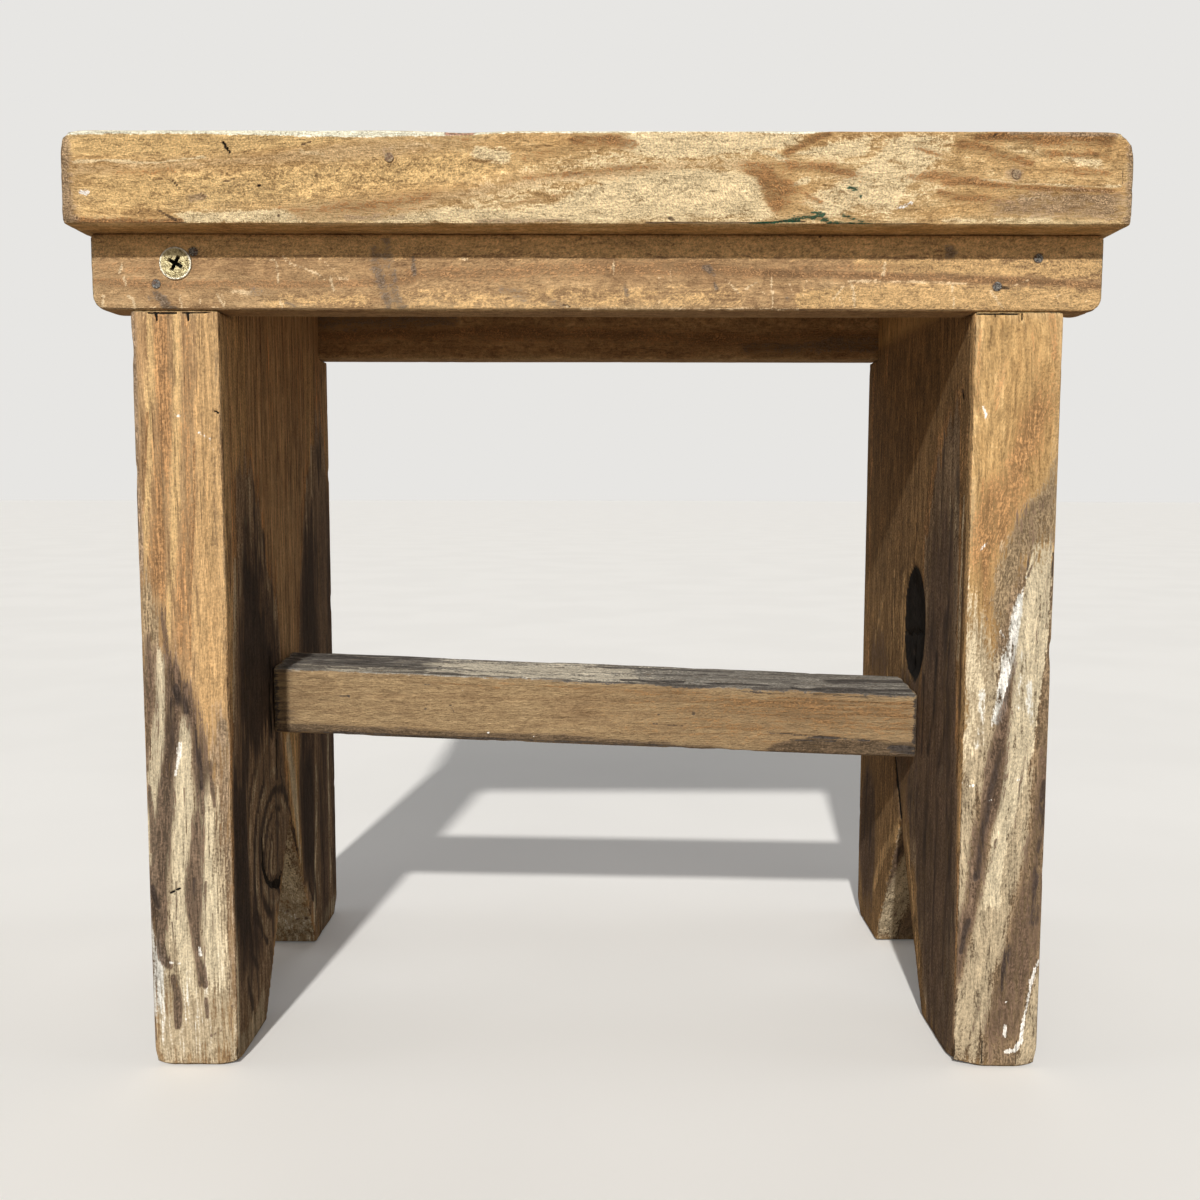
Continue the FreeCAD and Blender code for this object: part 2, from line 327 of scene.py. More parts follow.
class Graph:
    """Short names for the nodes of one material."""

    def __init__(self, name):
        self.material = bpy.data.materials.new(name)
        self.material.use_nodes = True
        self.tree = self.material.node_tree
        self.tree.nodes.clear()

    def node(self, kind, inputs, **settings):
        made = self.tree.nodes.new("ShaderNode" + kind)
        for key, value in settings.items():
            setattr(made, key, value)
        for socket, value in inputs.items():
            if isinstance(value, bpy.types.NodeSocket):
                self.tree.links.new(value, made.inputs[socket])
            else:
                made.inputs[socket].default_value = value
        return made

    def math(self, operation, first, second=0.0):
        return self.node("Math", {0: first, 1: second}, operation=operation).outputs[0]

    def vector(self, operation, first, second):
        return self.node("VectorMath", {0: first, 1: second}, operation=operation).outputs[0]

    def length(self, vector):
        return self.node("VectorMath", {0: vector}, operation="LENGTH").outputs["Value"]

    def add(self, *terms):
        total = terms[0]
        for term in terms[1:]:
            total = self.math("ADD", total, term)
        return total

    def times(self, first, second):
        return self.math("MULTIPLY", first, second)

    def centred(self, value, strength):
        """A 0 to 1 value as -strength/2 to +strength/2."""
        inputs = {0: value, 1: strength, 2: -strength / 2}
        return self.node("Math", inputs, operation="MULTIPLY_ADD").outputs[0]

    def weighted(self, patterns, weights):
        """Several patterns of 0 to 1, each centred on 0 and given its own strength."""
        return [self.centred(pattern, weight) for pattern, weight in zip(patterns, weights)]

    def ramp(self, value, low, high, start=0.0, end=1.0):
        return self.node("MapRange", {0: value, 1: low, 2: high, 3: start, 4: end},
                         interpolation_type="SMOOTHSTEP").outputs[0]

    def stretched(self, vector, sizes):
        """The vector divided by sizes, so that noise of scale 1 has lumps of those sizes."""
        return self.vector("MULTIPLY", vector, tuple(1 / size for size in sizes))

    def noise(self, vector, sizes, detail=2.0, roughness=0.5, distortion=0.0):
        """Noise spread over 0 to 1, with lumps of the given sizes."""
        inputs = {"Vector": self.stretched(vector, sizes), "Scale": 1.0, "Detail": detail,
                  "Roughness": roughness, "Distortion": distortion}
        raw = self.node("TexNoise", inputs).outputs["Fac"]
        return self.node("MapRange", {0: raw, 1: NOISE_LOW, 2: NOISE_HIGH}).outputs[0]

    def sway(self, vector, sizes, amount):
        """The vector moved sideways by up to amount, in lumps of the given sizes."""
        inputs = {"Vector": self.stretched(vector, sizes), "Scale": 1.0, "Detail": 2.0}
        lumps = self.node("TexNoise", inputs).outputs["Color"]
        shift = self.vector("SUBTRACT", lumps, (0.5, 0.5, 0.5))
        shift = self.vector("MULTIPLY", shift, (0.0, 2 * amount, 2 * amount))
        return self.vector("ADD", vector, shift)

    def turned(self, vector, degrees):
        """The vector turned by the same angle about its second and third axes."""
        turn = (0.0, radians(degrees), radians(degrees))
        return self.node("Mapping", {"Vector": vector, "Rotation": turn}).outputs[0]

    def mix(self, part, first, second, blend="MIX"):
        """The first colour, with a part of it given over to the second."""
        made = self.node("Mix", {0: part, 6: first, 7: second}, data_type="RGBA", blend_type=blend)
        return made.outputs[2]

    def grey(self, value):
        return self.node("CombineColor", {0: value, 1: value, 2: value}).outputs[0]

    def colours(self, value, stops):
        """A colour ramp through stops, each a place and a red, green and blue."""
        made = self.node("ValToRGB", {0: value})
        elements = made.color_ramp.elements
        while len(elements) < len(stops):
            elements.new(0.5)
        for element, (place, tint) in zip(elements, stops):
            element.position = place
            element.color = (*tint, 1.0)
        return made.outputs[0]

    def layer(self, name):
        return self.node("Attribute", {}, attribute_name=name).outputs["Fac"]

    def millimetres(self):
        place = self.node("TexCoord", {}).outputs["Object"]
        return self.node("VectorMath", {0: place, 3: 1 / MM}, operation="SCALE").outputs[0]

    def finish(self, tint, roughness, height, metallic=0.0, specular=0.25):
        """Ends in a Principled shader. Height is in millimetres."""
        bump = self.node("Bump", {"Height": height, "Distance": MM, "Strength": 1.0}).outputs[0]
        shader = self.node("BsdfPrincipled", {"Base Color": tint, "Roughness": roughness, "Normal": bump,
                                              "Metallic": metallic, "Specular IOR Level": specular})
        self.node("OutputMaterial", {"Surface": shader.outputs[0]})
        return self.material


def colour(red, green, blue):
    return (red, green, blue, 1.0)


def wood_patterns(g, grain, look):
    """The noises that the wood is mixed from, each from 0 to 1. They are long down the board's grain.

    Growth rings run round the board's pith, so they become stripes on its sides.
    """
    place = g.millimetres()
    axes = g.node("SeparateXYZ", {0: place}).outputs
    order = [grain] + [axis for axis in range(3) if axis != grain]
    along = g.node("CombineXYZ", {i: axes[axis] for i, axis in enumerate(order)}).outputs[0]
    flow = g.sway(along, (70, 22, 22), look["drift"])

    from_pith = g.vector("SUBTRACT", flow, (0.0, *look["pith"]))
    radius = g.length(g.vector("MULTIPLY", from_pith, (0.0, 1.0, 1.0)))
    rings = g.node("TexNoise", {"W": g.times(radius, 1 / look["ring"]), "Scale": 1.0, "Detail": 2.0,
                                "Roughness": 0.6}, noise_dimensions="1D").outputs["Fac"]
    first_turn, other_turn = look["hair_turns"]
    hair_kind = {"detail": 2.0, "roughness": 0.6, "distortion": 0.8}
    hair = g.node("Mix", {0: g.ramp(g.noise(flow, (45, 14, 14)), 0.4, 0.6),
                          2: g.noise(g.turned(flow, first_turn), look["hair"], **hair_kind),
                          3: g.noise(g.turned(flow, other_turn), look["hair"], **hair_kind)})
    return SimpleNamespace(
        rings=g.node("MapRange", {0: rings, 1: 0.3, 2: 0.7}).outputs[0],
        blotch=g.noise(flow, (24, 8, 8), detail=3.0, roughness=0.6),
        mottle=g.noise(flow, look["mottle"], detail=3.0, roughness=0.65, distortion=1.0),
        fibre=g.noise(flow, look["fibre"], detail=3.0, roughness=0.6, distortion=0.3),
        hair=hair.outputs[0],
        grit=g.noise(place, (0.75, 0.75, 0.75), detail=2.0, roughness=0.6),
        streak=g.noise(flow, look["streak"], detail=4.0, roughness=0.65, distortion=0.4),
        pores=g.noise(place, (1.1, 1.1, 1.1), detail=4.0, roughness=0.75),
        pit=g.noise(g.turned(flow, first_turn), look["pit"], detail=2.0, roughness=0.6, distortion=0.6),
    )


def end_grain(g, grain):
    """1 on the board's sawn ends and 0 along its sides."""
    normal = g.node("TexCoord", {}).outputs["Normal"]
    facing = g.node("SeparateXYZ", {0: normal}).outputs[grain]
    return g.ramp(g.math("ABSOLUTE", facing), 0.45, 0.75)


def bare_wood(g, wood, tone, end, look):
    """The wood's own colour, with darker ends and paler rubbed edges."""
    shade = g.colours(tone, look["tones"])
    end_tone = g.add(g.centred(wood.pores, 0.7), g.centred(wood.rings, 0.4), g.centred(wood.grit, 0.3), 0.5)
    shade = g.mix(end, shade, g.colours(end_tone, look["end_tones"]))
    rubbed = g.ramp(g.add(wood.blotch, g.centred(wood.hair, 0.5)), 0.2, 0.7, 0.0, look["edge_shine"])
    return g.mix(g.times(g.layer("edge"), rubbed), shade, look["edge_tint"])


def painted_wood(g, wood, tone, grains, shade, look):
    """The shade with the painted layers over it, and each layer's mask. Layer edges follow the fibres."""
    ragged = g.add(*g.weighted(grains, look["ragged"]))
    figure = g.add(0.5, g.centred(tone, 0.8), g.centred(wood.hair, look["figure"]), g.centred(wood.grit, 0.5))
    figure = g.grey(g.ramp(figure, 0.2, 0.8, 0.55, 1.45))
    masks = {}
    for layer, (tint, low, high, most, rag) in look["layers"].items():
        painted = g.layer(layer)
        edge = g.ramp(g.add(painted, g.times(ragged, rag)), low, high, 0.0, most)
        masks[layer] = g.times(edge, g.ramp(painted, 0.0, 0.12))
        figured = 0.25 if tint[1] > PALE else 1.0
        shade = g.mix(masks[layer], shade, g.mix(figured, tint, figure, "MULTIPLY"))
    return shade, masks


def weathered_wood(name, grain, look):
    """Bare, weathered softwood with painted layers, light and dark fibres, pits and a bumpy surface."""
    g = Graph(name)
    wood = wood_patterns(g, grain, look)
    grains = (wood.fibre, wood.hair, wood.mottle, wood.grit, wood.streak)
    kinds = ("ring_contrast", "blotch_contrast", "mottle_contrast", "fibre_contrast")
    contrasts = [look[kind] for kind in kinds]
    tone = g.add(*g.weighted((wood.rings, wood.blotch, wood.mottle, wood.fibre), contrasts), 0.5)
    end = end_grain(g, grain)
    shade = bare_wood(g, wood, tone, end, look)
    shade, masks = painted_wood(g, wood, tone, grains, shade, look)

    texture = g.add(0.5, *g.weighted(grains, look["texture"]))
    texture = g.node("MapRange", {0: texture, 1: 0.0, 2: 1.0, 3: look["dim"], 4: look["glow"]}).outputs[0]
    strength = g.ramp(g.layer("rough"), 0.0, 1.0, look["calm"], 1.0)
    shade = g.mix(strength, shade, g.grey(texture), "MULTIPLY")
    pit = g.add(wood.pit, g.centred(wood.blotch, 0.2), g.times(g.layer("rough"), 0.22), -0.1)
    pit = g.ramp(pit, 0.84, 1.0, 0.0, look["pits"])
    shade = g.mix(pit, shade, look["pit_tint"])

    relief = g.add(*g.weighted((wood.fibre, wood.hair, wood.mottle, wood.grit), (0.3, 0.4, 0.4, 0.12)))
    end_pores = g.times(g.centred(wood.pores, 0.5), end)
    height = g.add(g.times(relief, look["relief"]), g.times(pit, -0.45), end_pores)
    for layer, depth in look["depths"].items():
        height = g.add(height, g.times(masks[layer], -depth))
    return g.finish(shade, g.add(0.74, g.centred(wood.fibre, 0.2)), height)


# The looks of the boards. Sizes are in mm: down the grain first, then across. Contrasts, and the weights in
# "ragged" and "texture", are how strongly each pattern shows. Layers lie over one another in this order. Each
# has a tint, the painted strengths where it starts and is full, how much it covers and how ragged its edge is
SEAT_LOOK = {
    "drift": 4.0, "pith": (-60.0, 210.0), "ring": 6.0, "relief": 0.9,
    "ring_contrast": 0.2, "blotch_contrast": 0.5, "mottle_contrast": 0.35, "fibre_contrast": 0.25,
    "mottle": (3.4, 1.7, 1.7), "fibre": (5.0, 0.6, 0.6), "hair": (2.6, 0.34, 0.34), "hair_turns": (38, -42),
    "pit": (2.0, 0.45, 0.45), "texture": (0.2, 0.6, 0.45, 0.35, 0.45), "calm": 0.8,
    "streak": (9.0, 2.2, 2.2), "ragged": (0.2, 0.55, 0.6, 0.25, 0.6), "figure": 1.2,
    "tones": [(0.1, (0.42, 0.24, 0.095)), (0.36, (0.62, 0.385, 0.165)), (0.6, (0.75, 0.50, 0.235)),
              (0.9, (0.88, 0.67, 0.37))],
    "end_tones": [(0.15, (0.10, 0.06, 0.03)), (0.5, (0.33, 0.21, 0.10)), (0.85, (0.62, 0.44, 0.22))],
    "layers": {
        "gold": (colour(0.80, 0.55, 0.25), 0.3, 0.9, 0.75, 1.2),
        "cream": (colour(0.90, 0.73, 0.45), 0.35, 0.8, 0.9, 1.1),
        "taupe": (colour(0.58, 0.40, 0.215), 0.4, 0.95, 0.7, 1.4),
        "brown": (colour(0.31, 0.155, 0.058), 0.4, 0.85, 0.92, 1.6),
        "grey": (colour(0.36, 0.25, 0.155), 0.3, 0.85, 0.85, 1.2),
        "dark": (colour(0.09, 0.052, 0.028), 0.25, 0.6, 0.9, 0.6),
        # The lip layer is a painted highlight along the top front edge.
        "lip": (colour(1.0, 0.97, 0.78), 0.3, 0.6, 1.0, 0.7),
        "white": (colour(0.92, 0.88, 0.84), 0.4, 0.7, 0.9, 1.8),
        "red": (colour(0.42, 0.10, 0.05), 0.3, 0.7, 0.7, 0.6),
        "green": (colour(0.004, 0.058, 0.032), 0.45, 0.8, 0.95, 1.6),
        "crack_and_shade": (colour(0.02, 0.012, 0.008), 0.35, 0.6, 1.0, 0.2),
    },
    "depths": {"crack_and_shade": 0.8, "dark": 0.15},
    "dim": 0.34, "glow": 1.68, "pits": 0.6, "pit_tint": colour(0.36, 0.20, 0.08),
    "edge_shine": 0.5, "edge_tint": colour(0.92, 0.76, 0.46),
}

LEG_LOOK = {
    "drift": 1.6, "pith": (-118.0, 60.0), "ring": 2.6, "relief": 0.7,
    "ring_contrast": 0.3, "blotch_contrast": 0.3, "mottle_contrast": 0.2, "fibre_contrast": 0.35,
    "mottle": (9.0, 2.2, 2.2), "fibre": (30.0, 0.7, 0.7), "hair": (6.0, 0.42, 0.42), "hair_turns": (2, -4),
    "pit": (3.0, 0.5, 0.5), "texture": (0.5, 0.35, 0.25, 0.35, 0.6), "calm": 0.62,
    "streak": (34.0, 2.2, 2.2), "ragged": (0.8, 0.45, 0.35, 0.35, 1.1), "figure": 0.8,
    "tones": [(0.1, (0.33, 0.18, 0.08)), (0.36, (0.47, 0.285, 0.14)), (0.6, (0.56, 0.365, 0.185)),
              (0.9, (0.68, 0.47, 0.26))],
    "end_tones": [(0.15, (0.09, 0.06, 0.022)), (0.5, (0.30, 0.21, 0.085)), (0.85, (0.52, 0.40, 0.19))],
    "layers": {
        # The first layer paints shade, laid over the right leg's inner side.
        "umber_shade": (colour(0.24, 0.14, 0.062), 0.05, 0.8, 0.85, 0.5),
        "cream": (colour(0.70, 0.475, 0.225), 0.3, 0.8, 0.85, 0.8),
        "brown": (colour(0.40, 0.215, 0.092), 0.3, 0.9, 0.8, 1.0),
        "tan": (colour(0.60, 0.385, 0.18), 0.3, 0.8, 0.8, 0.9),
        "grey": (colour(0.36, 0.27, 0.165), 0.3, 0.75, 0.9, 1.1),
        "mauve": (colour(0.30, 0.215, 0.14), 0.25, 0.85, 0.9, 1.1),
        "straw": (colour(0.52, 0.425, 0.285), 0.25, 0.85, 0.95, 1.1),
        "pale": (colour(0.68, 0.585, 0.41), 0.3, 0.8, 0.95, 1.1),
        "ash": (colour(0.66, 0.66, 0.62), 0.3, 0.8, 0.9, 1.2),
        # Stains, and also painted shade by the stretcher's end on the right leg.
        "stain": (colour(0.12, 0.078, 0.053), 0.2, 0.7, 0.92, 1.2),
        "dark": (colour(0.045, 0.032, 0.026), 0.25, 0.75, 0.94, 1.1),
        "white": (colour(0.92, 0.90, 0.85), 0.35, 0.7, 0.95, 1.4),
        "knot": (colour(0.008, 0.006, 0.005), 0.3, 0.6, 1.0, 0.5),
        # Cracks, and painted shadow lines under the aprons on the legs.
        "crack_and_shade": (colour(0.012, 0.009, 0.006), 0.35, 0.6, 1.0, 0.4),
    },
    "depths": {"crack_and_shade": 0.9, "dark": 0.15, "pale": 0.12},
    "dim": 0.1, "glow": 1.9, "pits": 0.2, "pit_tint": colour(0.2, 0.12, 0.07),
    "edge_shine": 0.35, "edge_tint": colour(0.70, 0.54, 0.33),
}

RIGHT_LEG_LOOK = dict(
    LEG_LOOK,
    layers=dict(LEG_LOOK["layers"], mauve=(colour(0.27, 0.19, 0.118), 0.25, 0.85, 0.9, 1.1),
                grey=(colour(0.30, 0.225, 0.14), 0.3, 0.75, 0.9, 1.1)),
    pith=(170.0, 90.0), ring=4.0, ring_contrast=0.2, drift=5.0, fibre=(14.0, 0.8, 0.8),
    hair=(4.0, 0.45, 0.45),
    hair_turns=(-14, 8), calm=0.62, ragged=(0.5, 0.6, 0.45, 0.35, 0.9), streak=(20.0, 2.4, 2.4),
    tones=[(0.1, (0.38, 0.21, 0.08)), (0.38, (0.53, 0.325, 0.135)), (0.62, (0.62, 0.40, 0.175)),
           (0.9, (0.72, 0.50, 0.25))],
)

APRON_LOOK = {
    "drift": 2.5, "pith": (40.0, 200.0), "ring": 3.4, "relief": 0.6,
    "ring_contrast": 0.15, "blotch_contrast": 0.4, "mottle_contrast": 0.35, "fibre_contrast": 0.15,
    "mottle": (4.0, 2.2, 2.2), "fibre": (6.0, 0.6, 0.6), "hair": (2.6, 0.4, 0.4), "hair_turns": (84, 25),
    "pit": (2.0, 0.5, 0.5), "texture": (0.2, 0.5, 0.45, 0.4, 0.35), "calm": 0.95,
    "streak": (8.0, 2.0, 2.0), "ragged": (0.35, 0.45, 0.65, 0.4, 0.4), "figure": 1.0,
    "tones": [(0.1, (0.29, 0.165, 0.08)), (0.38, (0.42, 0.26, 0.13)), (0.62, (0.52, 0.34, 0.175)),
              (0.9, (0.64, 0.45, 0.25))],
    "end_tones": [(0.15, (0.12, 0.075, 0.035)), (0.5, (0.32, 0.21, 0.10)), (0.85, (0.52, 0.38, 0.2))],
    "layers": {
        "gold": (colour(0.68, 0.45, 0.21), 0.25, 0.85, 0.85, 1.0),
        "brown": (colour(0.32, 0.18, 0.085), 0.3, 0.95, 0.85, 1.4),
        "stain": (colour(0.15, 0.12, 0.095), 0.2, 0.8, 0.8, 1.6),
        "dark": (colour(0.065, 0.042, 0.025), 0.25, 0.6, 0.9, 0.6),
        "scratch": (colour(0.78, 0.62, 0.40), 0.25, 0.75, 0.7, 1.2),
    },
    "depths": {"dark": 0.1, "scratch": 0.08},
    "dim": 0.48, "glow": 1.52, "pits": 0.5, "pit_tint": colour(0.2, 0.11, 0.05),
    "edge_shine": 0.35, "edge_tint": colour(0.66, 0.50, 0.28),
}

STRETCHER_LOOK = {
    "drift": 1.0, "pith": (20.0, 150.0), "ring": 1.1, "relief": 0.6,
    "ring_contrast": 0.15, "blotch_contrast": 0.35, "mottle_contrast": 0.25, "fibre_contrast": 0.3,
    "mottle": (5.0, 2.0, 2.0), "fibre": (6.0, 0.5, 0.5), "hair": (1.8, 0.4, 0.4), "hair_turns": (0, 5),
    "pit": (2.4, 0.5, 0.5), "texture": (0.35, 0.4, 0.3, 0.4, 0.3), "calm": 0.8,
    "streak": (22.0, 1.1, 1.1), "ragged": (0.6, 0.4, 0.6, 0.4, 1.0), "figure": 0.5,
    "tones": [(0.1, (0.21, 0.13, 0.064)), (0.38, (0.315, 0.21, 0.111)), (0.62, (0.39, 0.273, 0.147)),
              (0.9, (0.50, 0.36, 0.21))],
    "end_tones": [(0.15, (0.08, 0.05, 0.025)), (0.5, (0.24, 0.155, 0.08)), (0.85, (0.4, 0.28, 0.15))],
    "layers": {
        "brown": (colour(0.22, 0.12, 0.05), 0.25, 0.8, 0.85, 0.9),
        "grey": (colour(0.27, 0.255, 0.225), 0.2, 0.75, 0.95, 1.0),
        # Dirt, and also the left leg's painted shadow at the front's left end.
        "dirt": (colour(0.12, 0.082, 0.05), 0.25, 0.75, 0.92, 1.0),
        "pale": (colour(0.64, 0.58, 0.46), 0.3, 0.75, 0.9, 1.2),
        "dark": (colour(0.05, 0.042, 0.038), 0.3, 0.7, 0.9, 1.1),
        "white": (colour(0.88, 0.86, 0.82), 0.3, 0.55, 0.95, 0.3),
        "crack_and_shade": (colour(0.012, 0.01, 0.008), 0.35, 0.6, 1.0, 0.3),
    },
    "depths": {"crack_and_shade": 0.6, "dark": 0.15, "grey": 0.1},
    "dim": 0.5, "glow": 1.5, "pits": 0.45, "pit_tint": colour(0.14, 0.08, 0.04),
    "edge_shine": 0.15, "edge_tint": colour(0.45, 0.36, 0.24),
}


# ---------------------------------------------------------------- the boards


def seat_board():
    """The seat. Its front edge shows slow brown bands between gold and cream wood."""
    x, y, low, high = SEAT["x"], SEAT["y"], SEAT["low"], SEAT["high"]
    left, right = SEAT["left_round"], SEAT["right_round"]
    turns = np.radians(np.linspace(0, 90, 7))
    right_top = [(x - right + right * np.cos(t), high - right + right * np.sin(t)) for t in turns]
    left_top = [(-x + left - left * np.sin(t), high - left + left * np.cos(t)) for t in turns]
    outline = [(-x, low), (x, low), *right_top, *left_top]
    blank = prism(outline, 1, -y, y, 0.6)
    board = Board("seat_board_worn", blank, 1.7, grain=0, seed=3,
                  fine=lambda middle, normal: normal.y < -0.3 or (middle.y < -y + 3 and normal.z > 0.3),
                  cuts=2)
    board.wear(waves=0.1, ridges=0.06, lumps=0.08, rounding=0.9, chips=0.5)
    for end in (-1, 1):
        for side in (-1, 1):
            board.dent((end * x, side * y, high), 12, 0.6)
    board.dent((-38, -y, high), 22, 0.6)
    board.dent((-105.3, -y, 278.5), 2.2, 0.5)
    seat_front_tones(board)
    seat_front_marks(board)
    seat_other_sides(board)
    board.build("seat_wood", "seat_board").data.materials.append(weathered_wood("seat_wood", 0, SEAT_LOOK))


def seat_front_tones(board):
    """Slow brown bands between gold and cream wood."""
    board.band("gold", "-y", [
        (-152, 277, 284), (-130, 276.4, 284), (-104, 277.6, 284), (-88, 279.4, 283), (-74, 281, 283),
    ], soft=1.2)
    board.band("gold", "-y", [
        (-148, 260.4, 272), (-120, 261, 273), (-96, 263, 274), (-70, 266, 276), (-44, 269, 279),
        (-24, 272, 276), (-14, 274, 275),
    ], strength=0.8, soft=3)
    board.band("cream", "-y", [
        (-120, 258, 261), (-104, 258, 261.8), (-90, 258, 262.2), (-84, 258, 259.6),
    ], soft=1.0)
    board.band("cream", "-y", [
        (-64, 258, 260.4), (-40, 258, 263.5), (-22, 258, 261.6), (-10, 258.5, 266), (0, 258.5, 271),
        (14, 259, 273), (32, 259, 275), (46, 259.4, 272), (51, 260, 266),
    ], soft=1.8, wobble=1.2)
    board.band("cream", "-y", [
        (-62, 257, 262), (-40, 257, 268), (-22, 257, 273), (0, 258, 280), (30, 259, 284), (50, 262, 284),
    ], strength=0.58, soft=4, wobble=1.5)
    board.band("cream", "-y", [
        (58, 258, 280), (70, 258, 284), (88, 258, 284), (98, 262, 284), (106, 268, 280),
    ], strength=0.5, soft=4, wobble=1.5)
    board.band("cream", "-y", [
        (8, 277, 283), (18, 276, 284), (34, 277, 284), (50, 279, 284), (58, 280, 284),
    ], soft=1.5, wobble=1.2)
    board.band("cream", "-y", [
        (60, 258.6, 266), (68, 259, 270), (76, 262, 275), (84, 260, 283), (94, 273.6, 284), (100, 276, 281),
    ], strength=0.85, soft=2, wobble=1.5)
    board.band("cream", "-y", [
        (54, 276.6, 278), (64, 276.6, 281), (78, 277, 283),
    ], strength=0.9, soft=1.2, wobble=1)
    board.paint("cream", "-y", [
        ((-34, 278, 3), (-27, 277, 3.4), 0.9), ((-58, 279, 2), (-48, 279.6, 2), 0.5),
        ((42, 280.4, 1.2), (54, 276.4, 1.2), 1.0),
        ((-150, 275.2, 0.7), (-130, 275.2, 0.7), (-112, 276.4, 0.7), 0.8),
        ((134, 276.6, 2), (143, 275.6, 3), 0.7),
        ((106, 270.8, 0.6), (120, 269.6, 0.6), (150, 268.8, 0.6), 0.8),
        ((100, 259.2, 1.2), (130, 259.4, 1.6), 0.7), ((121, 265.4, 1.2), (132, 266.4, 0.9), 0.6),
        ((-14, 273.2, 1), (-6, 274.4, 1), 0.7), ((118, 279.6, 1.4), (126, 278.6, 1.4), 0.6),
        ((-84, 278.2, 1.2), (-78, 277.4, 1.2), 0.7), ((56, 269.4, 1.2), (60, 270.4, 1.6), 0.8),
    ], wobble=0.9)
    board.band("taupe", "-y", [
        (-152, 271, 275.6), (-136, 272.6, 275), (-120, 273, 275.6), (-108, 273.6, 276.6), (-94, 274.4, 278),
        (-80, 275, 279.8), (-66, 276, 280.8), (-52, 277, 281.6), (-40, 279.4, 282), (-34, 281, 282),
    ], strength=0.85, soft=1.5)
    board.band("taupe", "-y", [
        (-90, 258.6, 263), (-76, 258.6, 264.6), (-60, 260, 266), (-48, 262, 267.4), (-36, 265, 268.6),
        (-24, 267.6, 270.6), (-12, 269.6, 272.4), (4, 270.4, 274), (20, 272.6, 275.2), (38, 274, 276),
        (52, 273, 275.8),
    ], strength=0.9, soft=1.4)
    board.band("brown", "-y", [
        (-90, 260.4, 262.6), (-80, 261, 264), (-68, 261.6, 265), (-58, 262.6, 266), (-46, 264.6, 267.4),
    ], strength=0.75, soft=1.6, wobble=1)
    board.band("brown", "-y", [
        (-26, 269.6, 270.8), (-18, 270.6, 272), (-10, 271.2, 272.8), (2, 272.4, 273.8), (16, 273.8, 274.8),
    ], strength=0.85, soft=0.9)
    board.band("brown", "-y", [
        (42, 273.6, 275.2), (47, 268, 275), (51, 262, 274.6), (55, 262, 271), (58, 264, 268),
    ], soft=1.8, wobble=1.4)
    board.band("brown", "-y", [
        (52, 274, 275.6), (62, 273.4, 275.4), (68, 271.6, 275.6), (73, 270.6, 274.4), (76, 271, 272),
    ], soft=1.2, wobble=1.2)
    board.band("brown", "-y", [
        (88, 270.6, 271.6), (96, 270, 273.2), (102, 268.6, 272.6), (110, 268.4, 270.8), (124, 267.4, 269.4),
        (150, 266.6, 268.4),
    ], soft=1.0, wobble=0.9)
    board.paint("brown", "-y", [
        ((-151, 258.6, 1.8), (-136, 258.4, 1.9), (-120, 258.6, 1.8), 1.0),
        ((54, 278, 1.6), (59, 281, 2), (66, 283.6, 1.6), 0.9),
        ((-6, 281.6, 3), (4, 282, 3.4), (10, 280, 2.4), 0.75), ((-20, 276.4, 2), (-12, 278, 2), 0.5),
        ((-48, 281.6, 1.6), (-36, 282, 1.6), 0.6),
        ((-26, 263, 1.4), (-18, 264.6, 1.4), (-10, 266.4, 1.2), 0.6),
        ((104, 281, 2.4), (114, 278.6, 2.4), (124, 275.6, 1.8), 0.75),
        ((98, 266.6, 1.6), (112, 264.6, 2.4), (124, 262.4, 2.2), 0.75),
        ((108, 283, 2), (126, 282.8, 3), (146, 282.6, 3.4), 1.0), ((128, 278.2, 1.6), (146, 277.4, 2), 0.7),
        ((60, 266.6, 1.2), (64, 264, 1.4), 0.6), ((-138, 272.4, 1.4), (-122, 273, 1.4), 0.5),
        ((92, 280, 1.4), (100, 277.6, 1.4), 0.5), ((130, 273.6, 1.2), (146, 272.4, 1.4), 0.6),
        ((72, 263.6, 1.2), (80, 262.4, 1.2), 0.4),
    ], wobble=1.4)


